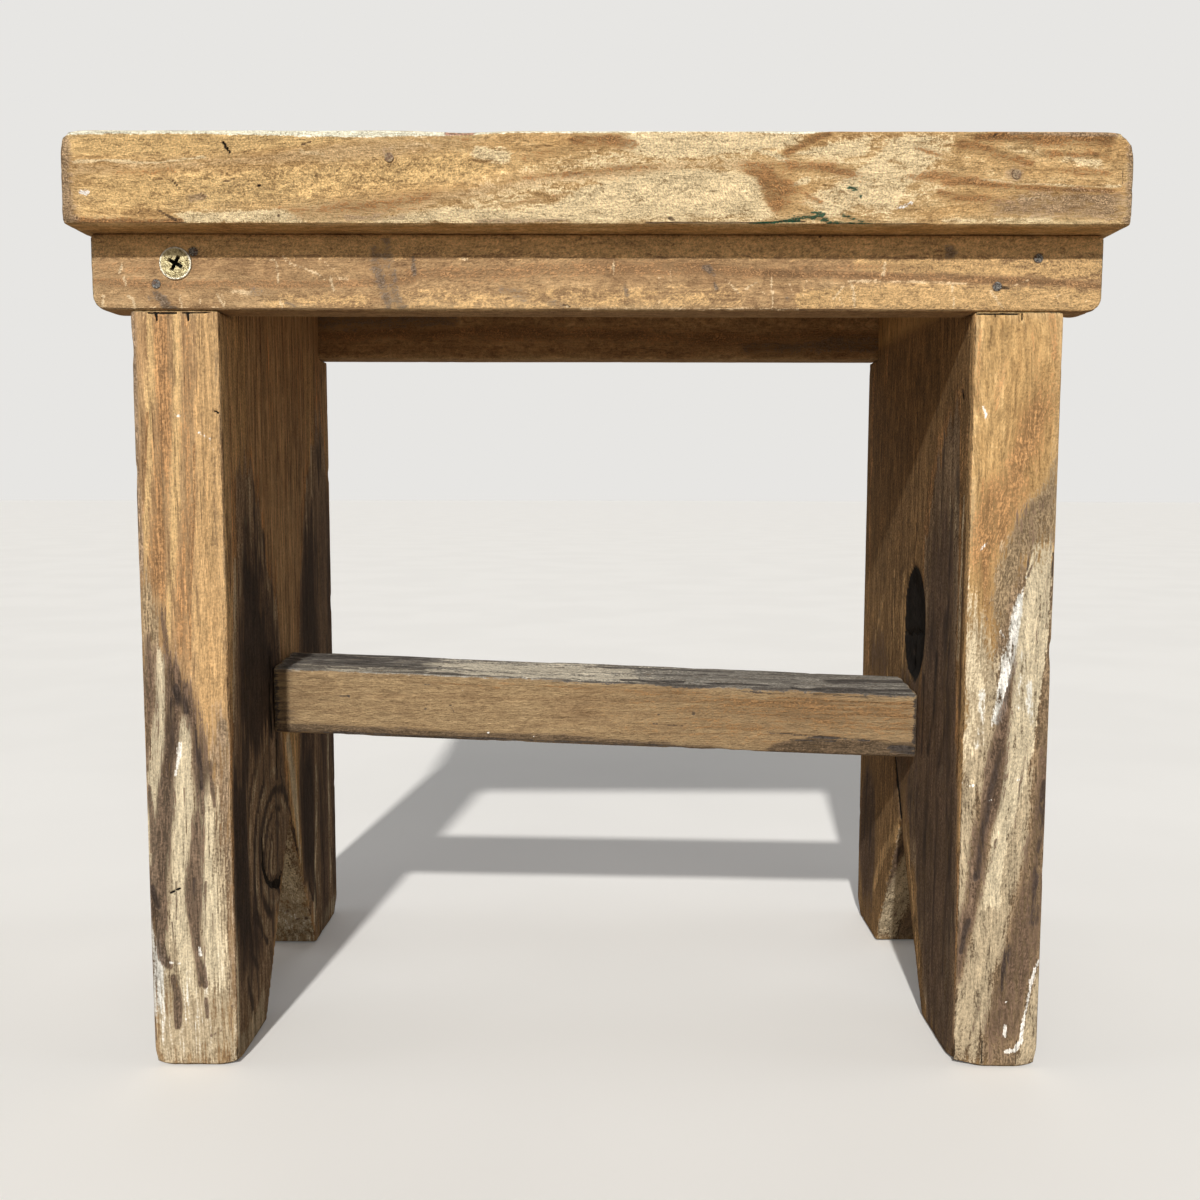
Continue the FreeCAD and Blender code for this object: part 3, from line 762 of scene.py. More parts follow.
def seat_front_marks(board):
    """Grey and dark spots, a painted edge highlight, flecks of paint, small cracks and rougher patches."""
    board.band("grey", "-y", [
        (112, 260.6, 264), (124, 260.4, 267), (138, 260.6, 267.6), (152, 259, 267),
    ], strength=0.85, soft=1.6, wobble=1.2)
    board.paint("grey", "-y", [
        ((-154.8, 257, 7.5), (-154.8, 268, 6), (-154.6, 281, 5), 1.3),
        ((154.8, 257, 5), (154.8, 278, 4.6), 1.2), ((-150, 282.4, 1.6), (-142, 284, 1.6), 0.5),
        ((118, 284, 1.2), (148, 284, 1.8), 0.9), ((-117, 265, 1.8), (-113, 265.6, 1.6), 0.8),
        ((-60, 277.8, 2.4), 0.5), ((-34, 258.8, 1.2), (-8, 259, 1.2), 0.7),
        ((-72, 259.6, 1.4), (-56, 260.4, 1.6), 0.7), ((120, 272.2, 4), 0.7),
    ], wobble=1.0)
    board.paint("dark", "-y", [
        ((-126, 262, 0.48), (-121, 259, 0.6), 0.9), ((-121.6, 270, 0.42), (-120.6, 268.8, 0.42), 1.0),
        ((-91.4, 260.2, 0.78), 0.9), ((20.8, 259.8, 0.54), (22, 259.4, 0.48), 0.9),
        ((-58.8, 260.6, 0.48), 0.8), ((-84, 280.2, 0.36), (-82, 280.5, 0.36), 0.9),
        ((-108, 269.6, 0.36), (-104, 270.4, 0.36), 0.8), ((112.6, 282.6, 0.36), (114, 283.6, 0.36), 0.9),
        ((-132, 261, 0.36), (-130.6, 261.8, 0.36), 0.7), ((-149, 257.8, 0.48), (-118, 258, 0.48), 0.7),
        ((66, 258, 0.36), (95, 258.2, 0.36), 0.7), ((14, 258.6, 0.42), (60, 258.6, 0.42), 0.7),
        ((-59.4, 276.6, 1.2), 0.3), ((120.1, 272.2, 2.0), 0.8),
        ((-113.8, 266.4, 0.36), (-112.6, 265.6, 0.36), 0.8), ((-154.4, 259, 1.6), (-154.2, 279, 1.3), 0.8),
        ((154.6, 258, 0.72), (154.6, 276, 0.66), 0.7), ((31, 270, 0.3), 0.5),
        ((-151, 266, 0.3), (-150.6, 272, 0.3), 0.6), ((-149, 259, 0.36), (-151.6, 264, 0.36), 0.6),
        ((150, 262, 0.24), (150.4, 274, 0.24), 0.5),
    ], wobble=0.4)
    # A painted highlight along the top front edge.
    board.band("lip", "-y", [
        (-152, 283, 288), (-122, 283.2, 288), (-70, 282.2, 288), (-48, 282.6, 288), (-30, 283.6, 288),
        (40, 284, 288), (60, 283.4, 288), (68, 284.2, 288),
    ], soft=0.4, wobble=0.3)
    board.paint("white", "-y", [
        ((-147.8, 266.8, 0.68), (-146, 266.6, 0.68), 1.0), ((86.5, 262.6, 0.83), (90, 263.8, 1.05), 0.85),
    ], wobble=0.5)
    board.paint("red", "-y", [((-43, 283.4, 0.9), (-35.5, 283.6, 0.8), 1.0)], wobble=0.3)
    board.paint("green", "-y", [
        ((44, 258.2, 0.56), (52, 258.6, 0.8), (58, 259.2, 1.04), 1.0),
        ((57, 259.6, 0.96), (61.6, 260, 1.2), (66, 259.2, 0.96), 1.0),
        ((61, 261.6, 0.48), (63.4, 261, 0.64), (65.4, 260.6, 0.48), 1.0),
        ((66, 258.6, 0.64), (79, 258.2, 0.56), 0.9),
        ((70, 260.6, 0.64), (73.6, 259.4, 0.72), (77, 258.8, 0.56), 1.0),
        ((72.2, 268.2, 0.64), (74.4, 267.8, 0.64), 1.0), ((75.4, 266.2, 0.56), (75.8, 265.8, 0.48), 1.0),
        ((73, 265, 0.4), (74.6, 264.6, 0.4), 0.9), ((75.8, 262.4, 0.48), 0.9), ((74.8, 263.4, 0.4), 0.8),
        ((76, 271, 0.4), 0.7), ((77.6, 272.4, 0.32), 0.6),
    ], wobble=0.5)
    board.paint("crack_and_shade", "-y", [
        ((-106.8, 281, 0.3), (-106.2, 279.6, 0.6), (-105, 278, 0.3), 1.0), ((-96.9, 268.8, 0.7), 1.0),
        ((0, 271.6, 0.5), 0.8),
    ], wobble=0.1)
    board.band("rough", "-y", [
        (-134, 262, 275), (-112, 262, 276), (-90, 263, 276), (-66, 266, 277), (-40, 270, 278),
        (-22, 272, 277),
    ], soft=3)
    board.band("rough", "-y", [(98, 274, 283), (130, 270, 283), (150, 270, 280)], strength=0.6, soft=3)
    board.sunk += 0.35 * board.layers["rough"] * (1 + board.noise(3.2, 1.6, seed=13, layers=2))


def seat_other_sides(board):
    """The top, which barely shows from the front, and the back and the ends, which don't show at all."""
    board.paint("cream", "+z", [
        ((-150, -80, 5), (-90, -81, 6), (-20, -81, 5), (60, -81, 4), 1.0),
        ((-120, -20, 20), (-40, -5, 26), (50, -15, 24), (110, 5, 16), 0.8),
        ((-90, 45, 8), (-10, 52, 12), (70, 48, 8), 0.6),
    ], wobble=5)
    board.paint("brown", "+z", [
        ((-150, -45, 5), (-80, -42, 7), (0, -50, 6), (80, -44, 7), (150, -50, 5), 0.7),
        ((-150, 30, 6), (-60, 26, 8), (40, 30, 6), (150, 22, 8), 0.7),
        ((-140, 70, 5), (-40, 72, 6), (60, 66, 6), (145, 70, 6), 0.6), ((88, -10, 10), (104, -14, 8), 0.8),
    ], wobble=5)
    board.paint("grey", "+z", [
        ((-152, -70, 6), (-152, 70, 8), 0.9), ((152, -70, 6), (152, 70, 8), 0.9),
        ((-150, 79, 5), (0, 80, 4), (150, 79, 6), 0.9), ((-60, -66, 5), (10, -62, 4), 0.5),
    ], wobble=4)
    board.paint("dark", "+z", [
        ((-126.5, -26, 2.4), 0.7), ((-126.5, 10, 2.4), 0.7), ((-126.5, 46, 2.4), 0.7),
        ((126.5, -26, 2.4), 0.7), ((126.5, 10, 2.4), 0.7), ((126.5, 46, 2.4), 0.7),
        ((30, 22, 3), (42, 25, 2), 0.6), ((-64, 12, 1.5), (-50, 15, 1), 0.6),
        ((-20, -34, 1), (4, -30, 1), 0.6),
    ], wobble=1)
    board.paint("grey", "+y", [
        ((-150, 260, 4), (-60, 262, 5), 0.8), ((40, 280, 5), (150, 279, 5), 0.8),
    ], wobble=2)
    board.paint("brown", "+y", [((-120, 276, 3), (0, 272, 3), (120, 268, 3), 0.8)], wobble=2)
    board.paint("crack_and_shade", "+x", [
        ((-42, 266.6, 0.4), (-24, 268.2, 0.6), (-4, 268.6, 0.5), (12, 269.8, 0.3), 1.0),
    ], wobble=0.5)
    board.paint("crack_and_shade", "-x", [
        ((16, 273.2, 0.3), (34, 271.8, 0.5), (48, 271.6, 0.6), (62, 270.4, 0.4), 1.0),
    ], wobble=0.5)


def leg_blank(side):
    """A square leg with its foot notch and the corners for the aprons. Side is -1 for the left leg."""
    outer, inner = side * LEG["outer"], side * LEG["inner"]
    y, neck, shoulder, high = LEG["y"], LEG["neck"], LEG["shoulder"], LEG["high"]
    front_notch, apex, back_notch = FOOT_NOTCHES[side]
    outline = [(-y, 0), front_notch, apex, back_notch, (y, 0), (y, shoulder), (neck, shoulder), (neck, high),
               (-neck, high), (-neck, shoulder), (-y, shoulder)]
    return prism(outline, 0, min(outer, inner), max(outer, inner), 0.6)


def leg_board(side, name, seed):
    """A worn leg, with rough saw cuts in its notch. Its front edge has the finest mesh."""
    board = Board(name + "_worn", leg_blank(side), 1.35, grain=2, seed=seed,
                  fine=lambda middle, normal: normal.y < -0.5 and middle.y < -LEG["y"] + 3, cuts=2)
    board.wear(waves=0.1, ridges=0.06, lumps=0.04, rounding=1.0, chips=0.5)
    notch = ramp(np.abs(board.points[:, 1]), 42, 30) * ramp(board.points[:, 2], 66, 56)
    rough = notch * ramp(-board.normals[:, 2], 0.2, 0.4) * (board.points[:, 2] > 1)
    board.sunk += rough * 0.7 * (1 + board.noise(3, 6, seed=8))
    return board


def whole_side(board, layer, side, strength=1.0):
    """Covers a leg's side from edge to edge, below the aprons."""
    board.band(layer, side, [(-5, -75, 75), (STAINS_END, -75, 75)], strength=strength, soft=1, wobble=0)


def damp(board, side, rows):
    """A damp mark that has climbed the fibres from the foot: ragged, with a brown tide line round it."""
    tide_line = [(place + 3, low - 1.8, high + 1.8) for place, low, high in rows]
    board.band("brown", side, tide_line, soft=0.8, wobble=1.5, fringe=14)
    board.band("mauve", side, rows, soft=1, wobble=1.5, fringe=14)


def left_leg():
    """The left leg, with worn corners at its foot and a hole in its knot."""
    board = leg_board(-1, "left_leg_board", 11)
    outer, inner, y = -LEG["outer"], -LEG["inner"], LEG["y"]
    for corner_x in (outer, inner):
        board.dent((corner_x, -y, 0), 7, 1.6)
        board.dent((corner_x, y, 0), 8, 1.8)
    left_leg_front(board)
    left_leg_inner_side(board)
    board.dent((inner, -22, 43), 6, 2.2)
    board.dent((inner, -30, 58), 9, -0.8)
    hidden_leg_sides(board, "-x")
    board.build("leg_wood", "left_leg_board").data.materials.append(
        weathered_wood("left_leg_wood", 2, LEG_LOOK))


def left_leg_front(board):
    """Brown and cream wood at the top, with damp stains and bleached strips further down."""
    board.band("brown", "-y", [
        (128, -130, -125), (140, -129.4, -124.6), (160, -127.6, -123.4), (180, -126, -121.8),
        (200, -125, -121.2), (216, -124.4, -121), (236, -124, -121),
    ], strength=0.7, soft=1.9)
    board.band("brown", "-y", [
        (148, -137, -132), (160, -135.8, -131), (170, -135, -130.2), (180, -134.4, -129.8),
        (190, -133.6, -129), (200, -133, -128.2), (215, -132.4, -127.8), (236, -132.4, -127.6),
    ], soft=1.9)
    board.band("cream", "-y", [
        (150, -138.4, -137), (160, -138.2, -136.4), (170, -138, -136), (180, -137.4, -135),
        (190, -136.4, -134), (200, -135.6, -133.4), (215, -135.2, -132.6), (236, -135, -132.4),
    ], soft=1.4, wobble=0.3)
    board.band("cream", "-y", [
        (134, -132, -130.6), (145, -131.6, -129.6), (155, -131, -128.6), (165, -130.2, -127.6),
        (175, -129.6, -126.4), (185, -129, -126), (195, -128.4, -125.6), (205, -127.8, -125.2),
        (236, -127.2, -124.4),
    ], soft=1.4, wobble=0.3)
    board.band("tan", "-y", [
        (86, -121, -115), (100, -122, -114), (140, -123.4, -113), (170, -121.4, -114), (200, -120.6, -113),
        (236, -120.6, -113),
    ], soft=2.9)
    board.paint("brown", "-y", [
        ((-121.4, 196, 0.6), (-122, 176, 0.6), (-123.2, 160, 0.6), (-124.2, 146, 0.6), (-124.6, 130, 0.5),
         1.0),
        ((-122.8, 178, 0.5), (-124.2, 160, 0.5), (-125, 145, 0.5), 0.9),
        ((-135.4, 205, 0.5), (-136.4, 190, 0.5), (-137.6, 175, 0.5), 1.0),
        ((-117.4, 200, 0.5), (-118.6, 160, 0.5), (-118.4, 120, 0.6), 0.7),
        ((-119.8, 220, 0.6), (-120, 200, 0.6), 0.7), ((-120, 118, 0.8), (-119.4, 100, 0.6), 0.6),
        ((-115.4, 180, 0.4), (-116.4, 140, 0.4), 0.6),
        ((-129.6, 236, 0.5), (-130.4, 205, 0.6), (-131.8, 185, 0.5), 0.8),
        ((-126.4, 160, 0.4), (-127.4, 140, 0.4), 0.6),
    ], wobble=0.25)
    board.band("brown", "-y", [
        (150, -141, -138), (200, -141, -137.4), (236, -141, -137.6),
    ], strength=0.8, soft=1.4)
    board.band("mauve", "-y", [
        (156, -142, -138), (200, -142, -137.6), (222, -142, -138), (236, -142, -138.4),
    ], soft=1.2)
    board.band("grey", "-y", [
        (108, -140, -137.4), (120, -140, -135.6), (130, -140, -134.4), (138, -140, -133.4), (146, -140, -134),
        (154, -140, -136.6),
    ], soft=2.2)
    board.band("stain", "-y", [
        (98, -140, -138.8), (110, -140, -137.4), (118, -140, -136.6), (128, -140, -138),
    ], strength=0.85, soft=3.8)
    board.band("mauve", "-y", [
        (20, -142, -113), (60, -142, -114), (90, -142, -117), (108, -142, -122), (122, -142, -126),
        (132, -140, -130),
    ], strength=1.3, soft=3)
    board.band("straw", "-y", [
        (2, -140, -113), (30, -138, -114.6), (60, -139, -115.6), (84, -139, -116.6), (96, -139, -119.6),
    ], soft=2.4)
    board.band("mauve", "-y", [
        (16, -115.4, -113), (30, -116, -113), (48, -117, -113), (70, -118.4, -113), (86, -119.2, -113),
        (100, -119.4, -114.4), (112, -117, -114),
    ], soft=2.4)
    board.band("pale", "-y", [
        (60, -139, -137.6), (68, -140, -137), (78, -140, -136.4), (88, -139.4, -136), (94, -138.8, -134),
        (102, -138, -133), (110, -137, -132.6), (118, -135.6, -132.2), (126, -135, -132.2),
        (133, -133.8, -133),
    ], soft=1.4)
    board.band("pale", "-y", [
        (24, -130.6, -126), (34, -131, -126), (46, -134, -127.6), (58, -132.6, -127.8), (66, -132, -126.6),
        (74, -132, -125.6), (84, -131.6, -124.4), (94, -131.4, -124.6), (104, -130, -124.6),
        (110, -129.2, -125), (113.6, -128.4, -126.2),
    ], soft=1.4)
    board.band("pale", "-y", [
        (26, -121.6, -117), (36, -123.6, -116.6), (50, -123.6, -117.6), (66, -123.2, -118.4),
        (80, -122.4, -119), (86, -122.6, -120), (89, -121.8, -120.6),
    ], soft=1.7)
    board.band("stain", "-y", [
        (112, -132.4, -124.4), (117, -132.2, -124), (121, -132, -125), (125, -131.8, -126.6),
        (129, -131.6, -129.8), (136, -132.6, -131.4), (143, -133.6, -132.8),
    ], soft=1.7)
    board.band("stain", "-y", [
        (40, -137, -135.4), (44, -138.4, -134.6), (50, -140, -134), (56, -141, -133.6), (61, -141, -133.4),
        (66, -138.4, -133), (74, -137.8, -132.4), (80, -136.8, -131.4), (88, -136, -131),
        (94, -134.8, -130.4), (100, -133.8, -129.6), (106, -133.2, -128.6), (113, -132.8, -128.2),
    ], soft=1.2)
    board.band("stain", "-y", [
        (84, -123.8, -122.2), (88, -124.4, -121), (94, -124.6, -120.2), (100, -124.4, -121),
        (106, -125, -121.6), (113, -126.2, -122.4), (118, -126, -123.6),
    ], soft=1.7)
    board.band("stain", "-y", [
        (35, -125.4, -123.8), (40, -126, -123.4), (46, -127, -123.4), (52, -128.6, -123.2),
        (58, -128.4, -123), (64, -127.6, -123), (70, -126.4, -122.8), (76, -125.4, -122.2),
        (82, -124.8, -122.4),
    ], soft=1.2)
    board.paint("stain", "-y", [
        ((-136.6, 40, 1.8), (-135.8, 36, 2.2), (-134.2, 33, 1.8), 1.0),
        ((-132.8, 29, 1.9), (-132, 24, 2.2), (-131.8, 18, 2.2), (-132, 13, 1.4), 1.0),
        ((-124.4, 34, 1.8), (-123.8, 27, 2.0), 1.0), ((-137.8, 70, 1.4), (-138.6, 90, 1.2), 0.8),
        ((-122.4, 82, 1.2), (-123.2, 100, 1.6), 0.8), ((-118.4, 84, 0.9), (-119.6, 98, 1.2), 0.6),
        ((-122.8, 22, 0.81), (-122.6, 16, 0.81), 0.6), ((-133.6, 84, 0.45), (-133.4, 70, 0.54), 0.9),
        ((-121.8, 60, 0.36), (-122.2, 46, 0.45), 0.6), ((-119.8, 50, 0.36), (-120.4, 36, 0.36), 0.4),
        ((-121.6, 10, 0.54), (-118, 12, 0.54), 0.5), ((-114.8, 20, 0.81), (-115.2, 12, 0.63), 0.7),
        ((-139.4, 16, 0.81), (-139, 8, 0.81), 0.7), ((-127.6, 90, 0.36), (-127, 76, 0.36), 0.4),
        ((-131, 60, 0.45), (-131.4, 48, 0.54), 0.6), ((-134.6, 62, 0.54), (-134.4, 48, 0.54), 0.8),
        ((-132.8, 47, 0.45), (-132, 37, 0.45), 0.7),
    ], wobble=0.3)
    board.paint("dark", "-y", [
        ((-129.4, 121, 1.8), (-127.6, 117, 2.16), (-126.4, 114, 1.44), 0.8),
        ((-131, 118, 0.9), (-131.2, 104, 1.26), (-132.2, 95, 1.08), 0.7),
        ((-123.4, 108, 0.9), (-122.6, 96, 1.26), (-122.6, 90, 1.26), 0.8),
        ((-138.6, 58, 1.44), (-137, 52, 1.26), 0.7), ((-125.4, 61, 1.08), (-125.8, 50, 1.08), 0.6),
        ((-131.8, 22, 0.9), 0.5),
    ], wobble=0.4)
    board.band("grey", "-y", [
        (-2, -141, -112), (6, -141, -112), (10, -136, -114),
    ], strength=1.1, soft=3, wobble=1.5)
    board.band("ash", "-y", [
        (6, -139, -114), (20, -138, -116), (32, -136, -118),
    ], strength=0.16, soft=4, wobble=2)
    board.paint("grey", "-y", [
        ((-138, 30, 3), (-136, 12, 4), 0.8), ((-128, 30, 2.4), (-127, 12, 3), 0.7),
        ((-119, 60, 2), (-119, 20, 3), 0.7), ((-128.6, 84, 1.4), (-129.4, 60, 1.6), (-129, 36, 1.8), 0.55),
        ((-115, 110, 2), (-114.4, 60, 2), 0.8),
    ], wobble=1)
    board.band("ash", "-y", [
        (16, -140, -139), (22, -140, -137), (30, -140, -135.6), (36, -140, -136.2), (44, -140, -138.4),
        (52, -140, -139.4),
    ], soft=1.9)
    board.paint("white", "-y", [
        ((-128.8, 104, 0.72), (-129, 100, 0.64), (-130.2, 94, 0.56), 1.0),
        ((-124.2, 39, 0.64), (-123.8, 36.4, 0.64), 0.9),
        ((-120, 199.4, 0.3), (-116.4, 197, 0.3), (-116, 191, 0.3), 0.45),
        ((-134, 34, 0.48), (-130.6, 33.6, 0.48), 0.7), ((-129.2, 15.4, 0.48), 0.7),
        ((-127, 204.6, 0.3), (-125.4, 204, 0.3), 0.5),
    ], wobble=0.3)
    # A painted shadow line runs across the top, under the apron; the rest are cracks.
    board.paint("crack_and_shade", "-y", [
        ((-133, 56.4, 0.4), (-131.8, 57, 0.5), 1.0), ((-131, 57.4, 0.5), (-130, 57.8, 0.4), 1.0),
        ((-131.6, 56.2, 0.4), 0.8), ((-132, 235, 0.5), (-131.6, 232.4, 0.4), 0.9),
        ((-122.4, 235, 0.5), (-122.2, 232.6, 0.4), 0.9), ((-115.2, 205.6, 0.4), (-114, 205, 0.4), 0.8),
        ((-128.8, 153.4, 0.4), 0.6), ((-134, 234.8, 0.6), (-126, 234.6, 0.5), 0.9),
        ((-124, 234.8, 0.5), (-116, 234.8, 0.4), 0.7),
    ], wobble=0.15)


def left_leg_inner_side(board):
    """Tan wood with damp marks that climb from the foot, and rings round a knot that has a small hole."""
    whole_side(board, "rough", "+x")
    board.band("tan", "+x", [
        (184, -58, -50), (192, -61, -46), (205, -62, -44), (236, -62, -44),
    ], strength=0.8, soft=0.9)
    board.band("tan", "+x", [
        (188, 36, 40), (200, 33, 44), (220, 30, 47), (236, 30, 47),
    ], strength=0.8, soft=0.9)
    board.band("cream", "+x", [
        (110, -70.5, -63), (160, -70.5, -64), (236, -70.5, -64),
    ], strength=0.5, soft=0.9)
    board.paint("brown", "+x", [
        ((-62, 235, 1.4), (-61, 190, 1.4), (-61, 130, 1.2), 0.9), ((-20, 235, 5), (-16, 205, 4), 0.5),
        ((20, 235, 4), (22, 200, 3), 0.5), ((52, 235, 2), (52, 214, 2), 0.6),
        ((-40, 178, 1.6), (-30, 166, 1.6), (-20, 152, 1.8), (-14, 132, 1.8), 1.0),
        ((-56, 180, 1.4), (-52, 190, 1.6), (-44, 194, 1.6), (-38, 186, 1.4), 0.8),
        ((45, 215, 1.6), (52, 221, 1.6), (58, 214, 1.4), 0.9),
        ((34, 200, 1.4), (28, 182, 1.4), (22, 160, 1.4), (17, 130, 1.4), 0.8),
    ], wobble=1)
    damp(board, "+x", [
        (0, -70, -38), (20, -70, -28), (40, -70, -14), (61, -70, -2), (80, -69, -8), (98, -68, -12),
        (110, -66, -12), (125, -64, -10), (140, -62, -14), (152, -60, -19), (165, -58, -27), (180, -58, -37),
        (191, -54, -43),
    ])
    damp(board, "+x", [
        (0, 33, 70), (30, 18, 70), (60, 10, 70), (98, 13, 70), (125, 15, 70), (135, 17, 70), (150, 21, 70),
        (165, 25, 68), (180, 29, 66), (190, 37, 64), (205, 45, 60), (214, 49, 54),
    ])
    board.band("stain", "+x", [
        (98, -64, -16), (110, -63, -13), (125, -61, -14), (140, -59, -19), (152, -56, -24), (162, -54, -33),
        (170, -51, -41), (176, -48, -45),
    ], strength=0.9, soft=1.6, wobble=1.4, fringe=18)
    board.band("stain", "+x", [
        (100, 17, 50), (125, 18, 48), (135, 19, 46), (150, 23, 43), (165, 27, 42), (175, 33, 39),
    ], soft=1.8, wobble=1.4, fringe=18)
    board.band("dark", "+x", [
        (98, -58, -22), (110, -58, -24), (125, -57, -22), (135, -55, -28), (145, -53, -32), (155, -51, -38),
        (163, -49, -43),
    ], soft=2, wobble=1.4, fringe=18)
    board.band("dark", "+x", [
        (108, 22, 42), (125, 24, 42), (145, 26, 39), (158, 29, 36),
    ], strength=0.75, soft=2.1, wobble=1.4, fringe=18)
    board.band("stain", "+x", [
        (26, -66, -42), (38, -66, -40), (50, -66, -52), (70, -66, -56), (90, -66, -56),
    ], strength=0.9, soft=1.8, wobble=1.6, fringe=8)
    board.band("stain", "+x", [
        (22, 26, 31), (36, 14, 32), (50, 12, 34), (70, 13, 35), (95, 16, 36),
    ], soft=1.4, wobble=1.4)
    board.band("dark", "+x", [
        (30, 20, 30), (45, 16, 32), (60, 15, 33), (78, 17, 30),
    ], strength=0.85, soft=1.8, wobble=1.4)
    board.band("stain", "+x", [
        (104, 42, 64), (130, 42, 64), (152, 42, 62), (178, 46, 60),
    ], strength=0.5, soft=3, wobble=1.4, fringe=18)
    board.band("stain", "+x", [
        (4, 42, 54), (30, 40, 56), (60, 40, 56), (95, 40, 56),
    ], strength=0.75, soft=1.8, wobble=1.4)
    board.band("stain", "+x", [
        (10, 62, 70), (60, 62, 70), (130, 62, 70), (185, 62, 68),
    ], strength=0.8, soft=1.6, wobble=1)
    board.paint("brown", "+x", [
        ((52, 190, 4), (54, 172, 4), (54, 160, 3), 0.9), ((47, 150, 2.4), (48, 124, 2.4), 0.7),
    ], wobble=1)
    board.paint("tan", "+x", [
        ((43, 168, 2), (43, 150, 2.4), (44, 126, 2), 0.9), ((60, 205, 2), (63, 170, 2), (64, 130, 1.6), 0.6),
    ], wobble=1)
    board.band("dark", "+x", [
        (34, -64, -46), (50, -69, -55), (80, -69, -55), (100, -66, -48),
    ], strength=0.95, soft=2.4, wobble=1.6, fringe=14)
    board.band("dark", "+x", [
        (100, 18, 48), (130, 20, 44), (150, 25, 41), (172, 34, 38),
    ], strength=0.6, soft=2.4, wobble=1.6, fringe=14)
    board.patches("dark", "+x", "mauve", 0.5, 22, 4)
    board.patches("straw", "+x", "mauve", 0.4, 34, 2.4)
    board.band("cream", "+x", [
        (38, 11.5, 13), (50, 5, 13), (62, -2, 12), (75, -8, 11), (88, -10, 12), (98, -11, 12),
    ], soft=0.8)
    board.paint("pale", "+x", [
        ((-3, 90, 4), (2, 76, 5), (6, 62, 3.6), (9, 48, 2), (12, 40, 1), 1.0),
        ((38, 72, 1.6), (36, 50, 2.4), (32, 30, 2.4), (30, 10, 2), 0.9),
        ((58.5, 86, 1.6), (58, 50, 2), (58, 18, 2), 0.8), ((-68, 60, 1.4), (-69, 10, 1.6), 0.6),
    ], wobble=0.8)
    board.paint("straw", "+x", [
        (*arc(LEFT_KNOT, (17, 18), 40, 280, 1.4), 0.6), (*arc(LEFT_KNOT, (25, 29), 80, 235, 1.6), 0.6),
        (*arc(LEFT_KNOT, (33, 42), 95, 225, 1.4), 0.65), (*arc(LEFT_KNOT, (42, 52), 150, 215, 1.4), 0.5),
        (*arc(LEFT_KNOT, (8, 8), 20, 300, 1.4), 0.5), ((-66, 5, 6), (-46, 4, 7), (-42, 10, 4), 1.0),
        ((-60, 160, 1.6), (-62, 140, 1.6), (-66, 110, 1.4), 0.8),
        ((-48, 172, 2.6), (-52, 160, 2.2), (-55, 148, 1.4), 0.9), ((44, 6, 5), (64, 6, 5), 0.9),
        ((36, 26, 3), (42, 12, 3), 0.7),
    ], wobble=1.2)
    board.paint("brown", "+x", [
        ((-21, 54, 7), 0.9), (*arc(LEFT_KNOT, (29, 35), 90, 230, 1.6), 0.7),
    ], wobble=1.2)
    board.paint("grey", "+x", [
        (*arc(LEFT_KNOT, (12, 13), 0, 360, 2.6), 0.8), ((-30, 84, 3), (-20, 92, 3), (-14, 84, 3), 0.7),
    ], wobble=1.6)
    board.paint("dark", "+x", [
        (*arc(LEFT_KNOT, (14.5, 15), 60, 210, 1.6), 0.8), (*arc(LEFT_KNOT, (20, 22), 40, 250, 2.4), 0.9),
        (*arc(LEFT_KNOT, (27, 32), 120, 240, 1.6), 0.9), (*arc(LEFT_KNOT, (36, 46), 130, 225, 1.6), 0.8),
        (*arc(LEFT_KNOT, (10, 10), 60, 330, 1.2), 0.6), (*arc(LEFT_KNOT, (45, 56), 160, 210, 1.6), 0.7),
        ((-18, 98, 2.4), (-19, 80, 2), 1.0), ((-14, 80, 1.2), (-6, 68, 1.4), (1, 56, 1.4), (9, 42, 1.2), 0.8),
        ((-22, 125, 2), (-24, 112, 2.4), (-24, 96, 2), 1.0), ((-24, 119, 1.4), (0, 119, 1.6), 1.0),
        ((-58, 24, 2), (-54, 12, 2), 0.8), ((20, 92, 3), (18, 80, 2), 0.8),
        ((60, 120, 1), (62, 80, 1.2), 0.7), ((22, 30, 1.4), (28, 20, 1.6), 0.8),
        ((44, 60, 1.4), (46, 30, 1.6), 0.7), ((50, 78, 1.2), (52, 44, 1.4), 0.6),
    ], wobble=1.2)
    board.paint("crack_and_shade", "+x", [
        ((-38, 64, 1.0), (-39, 56, 1.4), (-34, 48, 1.4), (-26, 44, 1.6), (-18, 42, 2.4), (-15, 46, 1), 1.0),
        ((-23, 125, 1.0), (-24.6, 112, 1.2), (-24, 98, 1.0), 1.0), ((-18, 94, 1.2), (-18, 84, 1), 0.9),
    ], wobble=0.9)


def right_leg():
    """The right leg, with a broken front corner at its foot and a sunken knot."""
    board = leg_board(1, "right_leg_board", 23)
    outer, inner, y = LEG["outer"], LEG["inner"], LEG["y"]
    board.dent((inner, -y, 0), 12, 3.4)
    board.dent((outer, -y, 0), 8, 1.8)
    for corner_x in (outer, inner):
        board.dent((corner_x, y, 0), 8, 1.8)
    right_leg_front(board)
    right_leg_inner_side(board)
    from_knot = (board.points[:, 1:] - RIGHT_KNOT) / RIGHT_KNOT_REACH
    around_knot = np.hypot(from_knot[:, 0], from_knot[:, 1])
    hollow = board.facing("-x") * ramp(around_knot, 1.1, 0.85)
    board.sunk += 1.1 * hollow * (1 + 0.5 * board.noise(3, 3, seed=14, layers=2))
    hidden_leg_sides(board, "+x")
    board.build("leg_wood", "right_leg_board").data.materials.append(
        weathered_wood("right_leg_wood", 2, RIGHT_LEG_LOOK))


